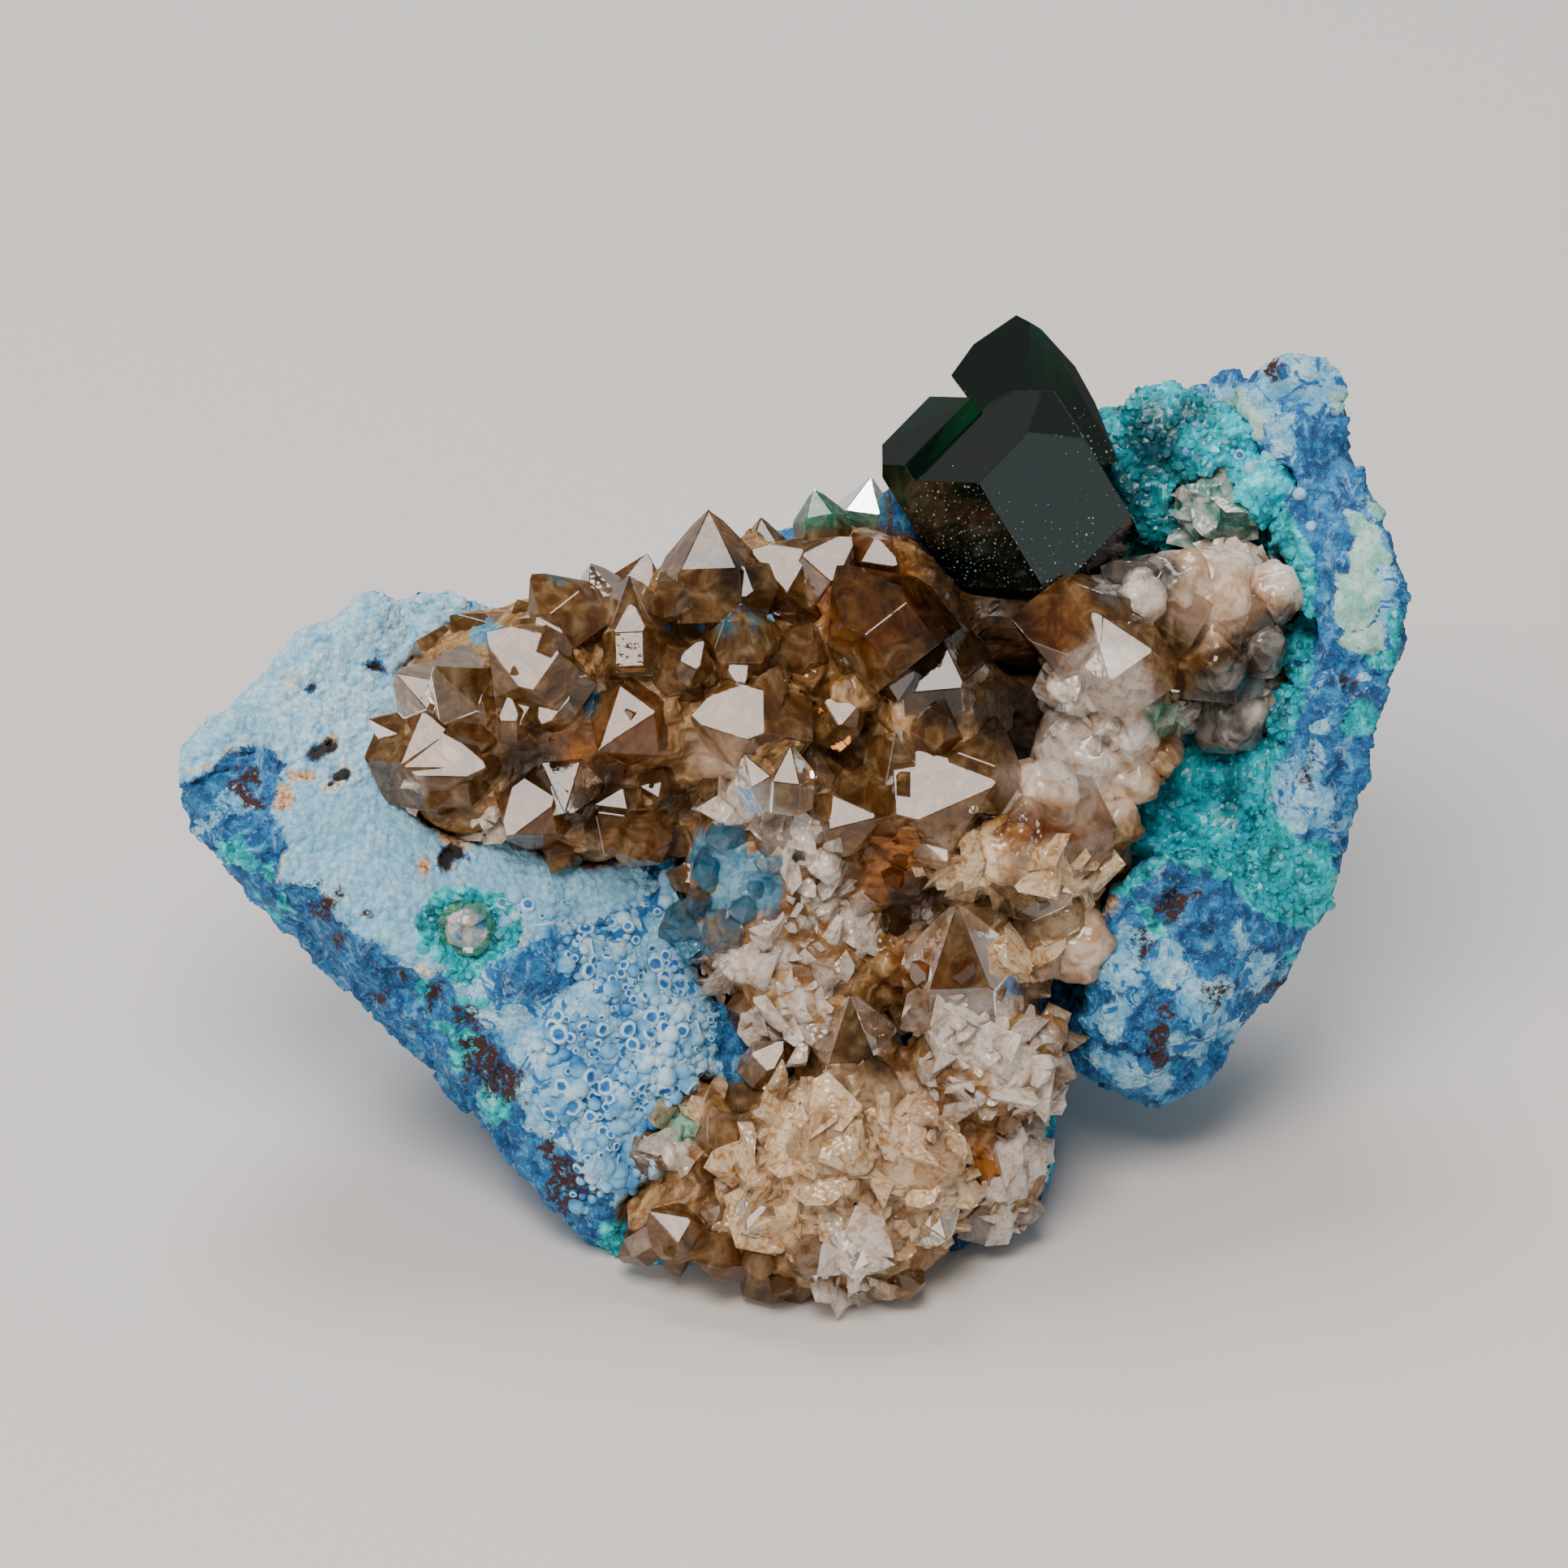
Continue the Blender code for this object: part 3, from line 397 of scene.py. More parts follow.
SPOTS = {
    "pale": [
        (28.4, 55.4, 1.9), (31.6, 57.6, 2.4), (34.0, 56.6, 1.4), (26.2, 56.2, 1.2),
        (30.4, 54.0, 1.2), (36.0, 44.6, 1.4), (36.4, 41.6, 1.0), (31.8, 31.8, 2.0),
        (30.4, 29.6, 1.2), (20.4, 21.0, 1.6), (19.8, 18.0, 1.4), (22.4, 14.2, 1.4),
        (26.4, 18.6, 1.6), (25.0, 16.0, 1.0), (-33.8, 31.2, 1.0), (-35.4, 29.8, 0.7),
        (33.0, 35.6, 0.7), (34.0, 29.8, 0.7), (20.6, 14.6, 1.4), (-19.0, 11.8, 0.7),
        (33.4, 46.0, 0.6), (32.4, 38.6, 0.6), (27.8, 22.8, 0.8),
        (31.0, 30.4, 1.4), (32.8, 33.4, 0.9), (22.6, 21.6, 1.6), (24.6, 20.0, 1.2),
        (34.6, 57.8, 1.0), (36.8, 43.0, 1.0), (35.2, 38.4, 0.6),
        (-36.6, 28.6, 0.8), (-35.0, 31.4, 0.6), (29.2, 20.6, 1.2), (27.6, 17.0, 1.0),
    ],
    "mint": [
        (28.0, 55.2, 1.5), (34.6, 55.8, 0.8), (36.6, 49.0, 0.8),
        (35.6, 46.4, 1.6), (34.6, 43.6, 1.6), (35.4, 41.0, 1.0), (34.6, 48.0, 0.8),
    ],
    "rust": [
        (-19.0, 15.4, 1.6), (-17.4, 14.0, 1.4), (-20.0, 17.6, 0.9), (-13.6, 8.0, 1.4),
        (-12.6, 6.8, 1.0), (-14.4, 9.6, 0.8), (-34.0, 32.2, 0.7), (-33.0, 31.2, 0.5),
        (-28.6, 24.8, 0.7), (-27.4, 22.8, 0.5), (23.6, 25.2, 0.8), (25.2, 25.4, 0.5),
        (23.4, 16.0, 1.0), (22.8, 18.4, 0.7), (26.6, 19.4, 0.6), (21.4, 22.0, 0.5),
        (29.6, 17.6, 0.7), (30.8, 19.4, 0.6), (34.2, 38.2, 0.5), (32.4, 33.4, 0.4),
        (30.8, 57.0, 0.5), (-21.6, 19.6, 0.6), (-24.0, 19.6, 0.5), (-26.0, 24.2, 0.4),
    ],
    "teal": [
        (-33.6, 28.0, 0.9), (-32.4, 26.6, 0.8), (-31.0, 24.6, 0.8), (-19.2, 18.8, 0.6),
        (-11.0, 3.6, 1.4), (-9.4, 2.8, 1.2), (-6.0, 1.8, 1.0), (-2.0, 1.6, 1.0),
        (16.8, 11.2, 1.3), (16.2, 9.2, 1.0), (36.4, 40.0, 1.0), (35.4, 36.4, 0.8),
        (33.6, 23.0, 0.9), (22.6, 23.2, 0.7), (21.8, 24.2, 0.5), (31.4, 21.4, 0.7),
        (-22.6, 19.8, 0.5), (-18.0, 12.2, 0.7), (-19.7, 23.2, 2.9), (22.6, 23.6, 0.9),
        (-20.4, 15.8, 0.9), (-21.6, 17.4, 0.7), (16.9, 13.4, 1.0), (37.4, 42.0, 0.9),
        (22.2, 24.4, 0.5), (22.8, 23.6, 0.5), (23.4, 22.8, 0.4),
    ],
    "ochre": [
        (-31.0, 31.4, 0.7), (-29.8, 32.8, 0.6), (-21.0, 28.6, 0.9), (-22.2, 27.0, 0.5),
        (-28.6, 34.6, 0.5), (19.2, 24.8, 0.8), (18.8, 22.8, 0.7), (-33.0, 38.0, 0.4),
        (19.4, 26.0, 0.5),
    ],
    # Painted shade: near-black brown on the rock seen in the gaps between the quartz points.
    "brown": [
        (14.9, 36.4, 3.4), (12.4, 38.6, 3.4), (11.4, 42.2, 3.2), (16.8, 39.2, 1.6),
        (7.4, 14.6, 1.4), (19.2, 27.4, 1.4), (18.6, 22.2, 1.2),
    ],
    # Painted shade: the pits are painted near black, as the shade inside them.
    "pit": [
        (-28.7, 34.2, 0.55), (-27.5, 32.6, 0.5), (-27.8, 31.8, 0.3), (-26.0, 40.0, 0.35),
        (-29.6, 39.0, 0.3), (-20.8, 27.4, 0.5), (18.4, 26.4, 1.2), (17.8, 24.4, 1.4),
    ],
}
BEADED = [
    (-7.4, 17.0, 3.0), (-9.4, 20.4, 2.6), (-12.4, 21.6, 1.8), (-8.4, 13.4, 3.0), (-11.4, 12.6, 2.6),
    (-13.0, 16.4, 2.2), (-11.0, 8.6, 2.0), (-14.2, 23.8, 1.6), (-17.0, 24.4, 1.4), (-6.4, 21.6, 1.6),
    (-10.4, 24.2, 1.6), (-7.0, 25.0, 1.2), (-14.0, 12.4, 1.6), (-12.4, 6.6, 1.2),
]
RING_BEADS = [
    (29.8, 50.2, 0.6), (31.4, 50.2, 0.6), (32.6, 48.4, 0.8), (28.8, 51.8, 0.7), (27.6, 52.6, 0.5),
    (32.4, 38.4, 0.7), (23.3, 33.0, 0.5), (24.0, 31.2, 0.6), (23.9, 36.5, 0.6), (24.4, 38.2, 0.7),
    (30.2, 52.4, 0.5), (32.2, 46.6, 0.5), (22.6, 40.4, 0.5), (23.0, 30.0, 0.4), (22.9, 55.6, 0.9),
    (23.6, 54.0, 0.8), (25.0, 53.0, 0.6),
]
QUARTZ_BEADS = [
    (-18.5, 42.1, 0.7), (-3.6, 41.2, 0.5), (-2.4, 40.2, 0.5), (-1.4, 42.2, 0.5), (-13.2, 45.4, 0.5),
]
NO_COLOUR = -9.0

# %% Measure how far inside a colour a point lies


def inside_outline(points, outline):
    """How far inside an outline each point lies, in millimetres, negative outside."""
    inside = np.zeros(len(points), bool)
    nearest = np.full(len(points), -NO_COLOUR)
    corners = np.array(outline)
    for start, end in zip(corners, np.roll(corners, -1, axis=0)):
        side = end - start
        share = np.clip(((points - start) @ side) / (side @ side), 0.0, 1.0)
        gap = points - start - share[:, None] * side
        nearest = np.minimum(nearest, np.hypot(gap[:, 0], gap[:, 1]))
        crosses = (start[1] > points[:, 1]) != (end[1] > points[:, 1])
        rise = side[1] if side[1] else 1.0
        inside ^= crosses & (points[:, 0] < start[0] + (points[:, 1] - start[1]) * side[0] / rise)
    return np.where(inside, nearest, -nearest)


def inside_spots(points, spots):
    """How far inside the nearest round spot each point lies, in millimetres."""
    found = np.full(len(points), NO_COLOUR)
    for right, up, radius in spots:
        found = np.maximum(found, radius - np.hypot(points[:, 0] - right, points[:, 1] - up))
    return found


def store(mesh, name, values):
    """Keep one number for each point of a mesh."""
    layer = mesh.attributes.get(name) or mesh.attributes.new(name, "FLOAT", "POINT")
    layer.data.foreach_set("value", np.asarray(values, dtype=np.float32))


def mark(mesh, name, spots):
    """Store how far inside the nearest of some spots each point of a mesh lies."""
    store(mesh, name, inside_spots(face_places(mesh)[:, :2], spots))


def stored_values(mesh, name):
    values = np.zeros(len(mesh.vertices), dtype=np.float32)
    mesh.attributes[name].data.foreach_get("value", values)
    return values


def facing_out(mesh):
    """How squarely every point of a mesh faces the front, 1 for square on."""
    return (points_of(mesh, "normal") @ np.array(FACE_TURN))[:, 2]


print("colour spots:", {name: len(spots) for name, spots in SPOTS.items()})

# %% [markdown]
# ## The rock's shape
# The solid rock has coarse facets. The real one is a broken block whose front carries
# a skin of round grains 0.4 to 1.3 mm across. The copy is remeshed into even faces and
# divided once more where it shows. The pale skin is cut out as a crust of its own, with
# a frayed rim, because its edge is a real step. A Geometry Nodes tree then pushes the
# points of both out along their normals: round domes on the skin, splintery hollows and
# flat chips where the rock is broken.

# %% Remesh the rock
ROCK_VOXEL = 0.52               # millimetres
SHOWS = -0.05                   # how far a face may turn away from the front and still show
HIDDEN_GAP = 0.9                # rock closer than this to the quartz is hidden by it
UNDER_SKIN = 1.0                # millimetres inside the skin's outline, where its crust hides it

rock = copy_solid("shattuckite_rock", "shattuckite_matrix")
remeshed(rock, ROCK_VOXEL, 2)
print("rock:", len(rock.data.polygons), "faces")

# %% Measure the colours onto the rock
BEND_SIZE = 2.4                 # millimetres between the bends in the colours' borders
BEND_REACH = 1.3                # and how far they reach
EDGE_ON = 0.25                  # faces that look less to the front than this turn away
TURNED_AWAY = 6.0               # millimetres a colour draws back where the face turns away
QUARTZ_REACH = 2.0              # millimetres from the quartz within which its gap is measured
noise.seed_set(5)               # without it the bends would differ from run to run


def colour_rock(mesh):
    places = face_places(mesh)
    flat = places[:, :2]
    bends = np.array([noise.noise_vector(Vector(place) / BEND_SIZE) for place in places])
    bent = flat + BEND_REACH * bends[:, :2]
    away = np.clip(EDGE_ON - facing_out(mesh), 0.0, None) * TURNED_AWAY
    colours = {name: inside_spots(bent, spots) for name, spots in SPOTS.items()}
    tongue = inside_outline(flat, DEEP_TONGUE)
    colours["beaded"] = inside_spots(flat, BEADED)
    colours["flank"] = np.minimum(inside_outline(flat, FLANK), -tongue)
    colours["wing"] = np.minimum(inside_outline(flat, WING_SKIN), -colours["pit"])
    colours["pale"] = np.maximum.reduce([colours["pale"], colours["flank"], colours["wing"]])
    colours["teal"] = np.maximum(colours["teal"], inside_outline(flat, TEAL_HOLLOW))
    for name, inside in colours.items():
        store(mesh, name, np.maximum(inside - away, NO_COLOUR))
    # How close each point lies to the quartz: the material paints shade there, a dark brown where the rock
    # meets the quartz.
    near = [quartz_tree.find_nearest(vert.co, QUARTZ_REACH * MM)[3] for vert in mesh.vertices]
    gap = np.array([QUARTZ_REACH if found is None else found / MM for found in near])
    store(mesh, "under_quartz", np.clip(1.0 - gap, 0.0, 1.0))
    store(mesh, "back", np.clip(away / TURNED_AWAY, 0.0, 1.0))
    print("share of the rock in pale skin:", round(float((colours["pale"] > 0).mean()), 2))


colour_rock(rock.data)


def divide_front(mesh):
    """Divide the faces that show from the front, where no crust will cover them."""
    wing = stored_values(mesh, "wing")
    shape = opened(mesh)
    edges = set()
    for face in shape.faces:
        if face.normal.dot(FACE_OUT) < SHOWS or wing[face.verts[0].index] > UNDER_SKIN:
            continue
        if quartz_tree.find_nearest(face.calc_center_median(), HIDDEN_GAP * MM)[0] is None:
            edges.update(face.edges)
    chosen = sorted(edges, key=lambda edge: edge.index)
    bmesh.ops.subdivide_edges(shape, edges=chosen, cuts=1, use_grid_fill=True)
    written(shape, mesh)


divide_front(rock.data)
colour_rock(rock.data)
print("rock, divided where it shows:", len(rock.data.polygons), "faces")

# %% Cut the blue skin out of the rock as a crust of its own
CRUST_STANDS = 0.15             # millimetres of the crust that lie outside the rock
CRUST_SINKS = 0.45              # and inside it
FRAY_ROOM = 1.2                 # millimetres around the skin's outline in which its rim may fray
FRAY = ((2.2, 0.7), (0.8, 0.5)) # size and reach of the bends in the rim


def ragged(places, sizes):
    """A ragged value for each point: noise of several sizes, each given with its reach."""
    return np.array([sum(reach * noise.noise(Vector(place) / size) for size, reach in sizes)
                     for place in places])


def cut_away(shape, values, least):
    """Delete the faces whose corners all lie below a value."""
    bmesh.ops.delete(shape, context="FACES", geom=[
        face for face in shape.faces if max(values[vert.index] for vert in face.verts) < least])


def skin_crust(source):
    shape = opened(source)
    cut_away(shape, stored_values(source, "wing"), -FRAY_ROOM)
    bmesh.ops.subdivide_edges(shape, edges=shape.edges[:], cuts=1, use_grid_fill=True)
    mesh = written(shape, "blue_skin")
    colour_rock(mesh)
    shape = opened(mesh)
    cut_away(shape, stored_values(mesh, "wing") + ragged(face_places(mesh), FRAY), 0.0)
    rim = [vert for vert in shape.verts if vert.is_boundary]
    for _ in range(3):
        bmesh.ops.smooth_vert(
            shape, verts=rim, factor=0.5, use_axis_x=True, use_axis_y=True, use_axis_z=True)
    piece = add_object("blue_skin", written(shape, mesh))
    outside = len(mesh.polygons)
    shell = piece.modifiers.new("thickness of the crust", "SOLIDIFY")
    shell.thickness = (CRUST_STANDS + CRUST_SINKS) * MM
    shell.offset = (CRUST_STANDS - CRUST_SINKS) / (CRUST_STANDS + CRUST_SINKS)
    shape = opened(bake(piece))
    fine = [edge for edge in shape.edges if all(face.index < outside for face in edge.link_faces)]
    bmesh.ops.subdivide_edges(shape, edges=fine, cuts=1, use_grid_fill=True)
    bmesh.ops.triangulate(shape, faces=[face for face in shape.faces if len(face.verts) > 4])
    written(shape, piece.data)
    return piece


skin = skin_crust(rock.data)
print("blue skin:", len(skin.data.polygons), "faces")

# %% Grow the skin with Geometry Nodes
COARSE_FROM = 31.0              # millimetres up the face, above which the grains get coarse
COARSE_OVER = 5.0               # millimetres within which they do
LAYERS = ("Dome", "Grain", "Break", "Chip")
RELIEF_SIZES = [f"{layer} {size}" for layer in LAYERS for size in ("width", "height")]
KINDS.update({
    "named": ("GeometryNodeInputNamedAttribute", {"data_type": "FLOAT"}, ("Name",), "Attribute"),
    "facing": ("GeometryNodeInputNormal", {}, (), "Normal"),
    "split": ("ShaderNodeSeparateXYZ", {}, (0,), 0),
    "blend": ("ShaderNodeMix", {"data_type": "FLOAT"}, (0, 2, 3), 0),
    "scale": ("ShaderNodeVectorMath", {"operation": "SCALE"}, (0, "Scale"), 0),
    "move": ("GeometryNodeSetPosition", {}, ("Geometry", "Offset"), 0),
    "store": ("GeometryNodeStoreNamedAttribute", {"data_type": "FLOAT"}, ("Geometry", "Name", "Value"), 0),
})


def store_coarse(mesh):
    """Store 1 where the grains of the skin are coarse, 0 where they are fine."""
    high = np.clip((face_places(mesh)[:, 1] - COARSE_FROM) / COARSE_OVER, 0.0, 1.0)
    store(mesh, "coarse", np.maximum(high, np.clip(stored_values(mesh, "flank"), 0.0, 0.9)))


def new_tree(name, sizes):
    """A Geometry Nodes tree with a geometry in and out and named inputs."""
    tree = bpy.data.node_groups.new(name, "GeometryNodeTree")
    for label, kind in {"Geometry": "Geometry", **sizes}.items():
        tree.interface.new_socket(label, in_out="INPUT", socket_type="NodeSocket" + kind)
    tree.interface.new_socket("Geometry", in_out="OUTPUT", socket_type="NodeSocketGeometry")
    tree.nodes.new("NodeGroupOutput")
    return tree, tree.nodes.new("NodeGroupInput").outputs


def run_tree(piece, tree, values):
    """Run a tree on a piece with the given inputs and keep the plain mesh."""
    modifier = piece.modifiers.new(tree.name, "NODES")
    modifier.node_group = tree
    for item in tree.interface.items_tree:
        if item.in_out == "INPUT" and item.name in values:
            modifier[item.identifier] = values[item.name]
    return bake(piece)


def relief_tree():
    tree, given = new_tree("grow the skin", {name: "Float" for name in RELIEF_SIZES})

    def laid(kind, layer, *values, **settings):
        """A pattern as wide as the layer's input says."""
        return add(tree, kind, None, add(tree, "over", 1.0, given[layer + " width"]), *values, **settings)

    def raised(layer, upper, lower):
        """How far one value lies above another, times the layer's height."""
        return add(tree, "times", add(tree, "minus", upper, lower), given[layer + " height"])

    dome, grain = [raised(layer, 0.6, add(tree, "power", laid("cells", layer, 0.9), 2.0))
                   for layer in ("Dome", "Grain")]
    breaks = raised("Break", laid("noise", "Break", 6.0, 0.65), 0.5)
    lot = add(tree, "split", laid("cells", "Chip", distance="MANHATTAN").node.outputs["Color"])
    chips = raised("Chip", lot, 0.5)
    swell = add(tree, "times_plus", add(tree, "named", "coarse"), 0.65, 0.35)
    domes = add(tree, "plus", add(tree, "times", dome, swell), grain)
    skinned = add(tree, "plus", domes, add(tree, "times", breaks, 0.35))
    broken = add(tree, "plus", breaks, chips)
    grown = add(tree, "blend", add(tree, "named", "skin_share"), broken, skinned)
    push = add(tree, "scale", add(tree, "facing"), grown)
    moved = add(tree, "move", given["Geometry"], push)
    plug(tree, "Group Output", {0: add(tree, "store", moved, "relief", grown)})
    return tree


RELIEF = relief_tree()


def grow(piece, share, *layers):
    """Push a surface into domes, grains, breaks and chips, each a width and a height in mm."""
    store(piece.data, "skin_share", share)
    store_coarse(piece.data)
    sizes = [size * MM for layer in layers for size in layer]
    run_tree(piece, RELIEF, dict(zip(RELIEF_SIZES, sizes)))
    print(piece.name, "has grown:", len(piece.data.polygons), "faces")


lumpy = np.maximum.reduce([stored_values(rock.data, "flank"), stored_values(rock.data, "mint"),
                           0.5 * stored_values(rock.data, "pale")])
grow(rock, np.clip(lumpy + 0.3, 0.0, 1.0), (1.3, 0.65), (0.6, 0.30), (1.5, 1.4), (2.0, 0.75))
grow(skin, np.ones(len(skin.data.vertices)), (1.0, 0.55), (0.46, 0.28), (2.6, 1.0), (2.0, 0.0))

# %% [markdown]
# ## The rock's finish
# Shattuckite is a copper silicate. Its skin is matt and pale. The skin's colour follows the
# height of the grown relief: the crowns of the grains are painted almost white and the
# hollows between them bluer, painted light and shade that make the grains stand out.
# Where it is broken it is deep blue with paler streaks, stained red-brown by iron and
# teal by dioptase. Painted shade darkens the rock to brown where it meets the quartz and
# in the gaps between the quartz points, and to near black in its small pits. One material
# carries them all, because on the real stone they run into each other. Colours are laid
# over one another like coats of paint, and each coat has shares that say where it lies:
# a number stored on the mesh, noise at the scale of the real grains, or both.

# %% How coats of colour are laid


def per_metre(millimetres):
    """The scale at which a pattern has cells of the given size."""
    return 1.0 / (millimetres * MM)


def where(tree, *shares):
    """The product of some shares. One given as pattern, low and high rises between the two."""
    whole = None
    for share in shares:
        if isinstance(share, tuple):
            share = add(tree, "step", *share)
        whole = share if whole is None else add(tree, "times", whole, share)
    return whole


def layered(tree, colour, *coats):
    """Lay coats over a colour. A coat is its colour and then the shares that say where it lies."""
    for coat, *shares in coats:
        below, above = [srgb(tone) if isinstance(tone, str) else tone for tone in (colour, coat)]
        colour = add(tree, "mix", where(tree, *shares), below, above)
    return colour


def covered(tree, name, fray, wander=1.6, soft=0.12):
    """Where a stored colour lies, with a border that a noise frays by some millimetres."""
    shift = add(tree, "times_plus", fray, wander, add(tree, "stored", attribute_name=name))
    return add(tree, "step", shift, wander / 2 - soft, wander / 2 + soft)


print("a pattern of 0.5 mm has the scale", per_metre(0.5))

# %% Shattuckite: matt stone with ragged borders between its colours
STONE_NOISE = {                 # size in millimetres, detail, distortion
    "fine": (0.35, 2.0, 0.0), "streak": (1.1, 5.0, 0.8), "broad": (6.0, 3.0, 0.0),
    "shadow": (0.8, 5.0, 0.6), "speck": (0.5, 4.0, 0.0), "stain": (2.2, 5.0, 0.3),
    "crack": (1.6, 6.0, 1.2), "pore": (0.28, 4.0, 0.0), "rim": (3.0, 4.0, 0.0),
    "mint": (1.0, 5.0, 0.0), "back pale": (7.0, 4.0, 0.0), "back teal": (5.0, 4.0, 0.5),
    "back rust": (2.4, 5.0, 0.4),
}


def shattuckite():
    material, tree = new_finish("shattuckite, matt copper silicate")
    place = add(tree, "place")
    grey = {name: add(tree, "noise", place, per_metre(size), detail, 0.6, distortion)
            for name, (size, detail, distortion) in STONE_NOISE.items()}
    fray = add(tree, "noise", place, per_metre(0.9), 6.0, 0.7, 0.4)
    along = add(tree, "stretch", place, (1.0, 0.5, 0.5))
    veins = add(tree, "noise", along, per_metre(1.0), 8.0, 0.75, 0.9)
    grains, grit = [add(tree, "cells", place, per_metre(size)) for size in (0.34, 0.3)]
    wing, back, relief, under_quartz = [
        add(tree, "stored", attribute_name=name) for name in ("wing", "back", "relief", "under_quartz")]
    fine, streak = grey["fine"], grey["streak"]

    deep = layered(
        tree, add(tree, "ramp", streak, stops=[
            (0.30, "0A2E56"), (0.46, "12558F"), (0.58, "267CB4"), (0.74, "5AA8D4")]),
        ("84C0E4", (fine, 0.58, 0.70), 0.4),
        ("8CC6E8", (veins, 0.54, 0.66), 0.65),
        ("0B2A52", (grey["shadow"], 0.62, 0.68), 0.7))
    # Painted light and shade: the pale skin is almost white where the grown relief stands highest and
    # bluer in the hollows between the grains.
    relief_shading = add(tree, "range", relief, -0.25 * MM, 0.45 * MM)
    pale = layered(
        tree, add(tree, "ramp", relief_shading, stops=[
            (0.0, "3088BE"), (0.35, "70BADF"), (0.65, "A0D6EE"), (1.0, "C6EAF8")]),
        ("C4E2EE", (grey["broad"], 0.55, 0.75), 0.3),
        ("5FA6CC", (grey["speck"], 0.62, 0.70), 0.5),
        ("D9C6A4", (grey["stain"], 0.66, 0.74), 0.5),
        ("5E9FC4", (grains, 0.35, 0.75), 0.45),
        ("1C68AC", (grey["crack"], 0.52, 0.58), (wing, 0.6, -0.4)),
        ("3D8ABC", (grey["pore"], 0.50, 0.66), (wing, 0.4, -0.4), 0.6))
    teal = add(tree, "ramp", streak, stops=[
        (0.30, "034C54"), (0.44, "02929C"), (0.56, "10CAD4"), (0.70, "8FF0F4")])
    mint = layered(
        tree, "74B8B0", ("BFE0D4", (grey["mint"], 0.35, 0.65)), ("4F8F9C", (fine, 0.60, 0.66), 0.5))
    rust = layered(tree, "1A0A08", ("421E18", (fine, 0.35, 0.65)))
    ochre = layered(tree, "8A5C34", ("E2C29A", (fine, 0.35, 0.65)))
    # Painted shade for the rock in the gaps between the quartz points.
    gap_shade = layered(tree, "1A0F08", ("4A3018", (streak, 0.4, 0.7)))
    # Painted shade for the rock where it meets the quartz.
    quartz_contact_shade = layered(tree, "3A2413", ("8A6238", (streak, 0.35, 0.65)))
    colour = layered(
        tree, deep,
        (pale, covered(tree, "pale", fray, 2.4)),
        (pale, back, (grey["back pale"], 0.50, 0.56)),
        ("E6D7BE", (wing, -0.2, 0.05), (wing, 0.75, 0.2), (grey["rim"], 0.50, 0.58), (fine, 0.3, 0.6)),
        (teal, covered(tree, "teal", fray)),
        (teal, back, (grey["back teal"], 0.60, 0.66)),
        (mint, covered(tree, "mint", fray, 2.0)),
        (rust, covered(tree, "rust", fray, 4.0, 0.3), (fine, 0.32, 0.5)),
        (rust, back, (grey["back rust"], 0.64, 0.68)),
        (ochre, covered(tree, "ochre", fray, 1.4, 0.3)),
        # Painted shade: near black in the pits.
        ("23201E", covered(tree, "pit", fray, 0.6, 0.1)),
        # Painted shade in the gaps between the quartz points, at the stored brown spots.
        (gap_shade, covered(tree, "brown", fray, 1.6, 0.3)),
        # Painted shade: dark brown where the rock lies within a millimetre of the quartz.
        (quartz_contact_shade, (under_quartz, 0.3, 0.8)))
    shallow = add(tree, "bump", 0.5, 0.08 * MM, grit)
    rough = add(tree, "bump", 0.9, 0.22 * MM, fine, shallow)
    plug(tree, "Principled BSDF", {"Base Color": colour, "Roughness": 0.82, "Normal": rough})
    return material


blue_stone = shattuckite()
for piece, replaced in ((rock, ["shattuckite_matrix"]), (skin, [])):
    piece.data.shade_smooth()
    finish_piece(piece, blue_stone, "shattuckite", *replaced)
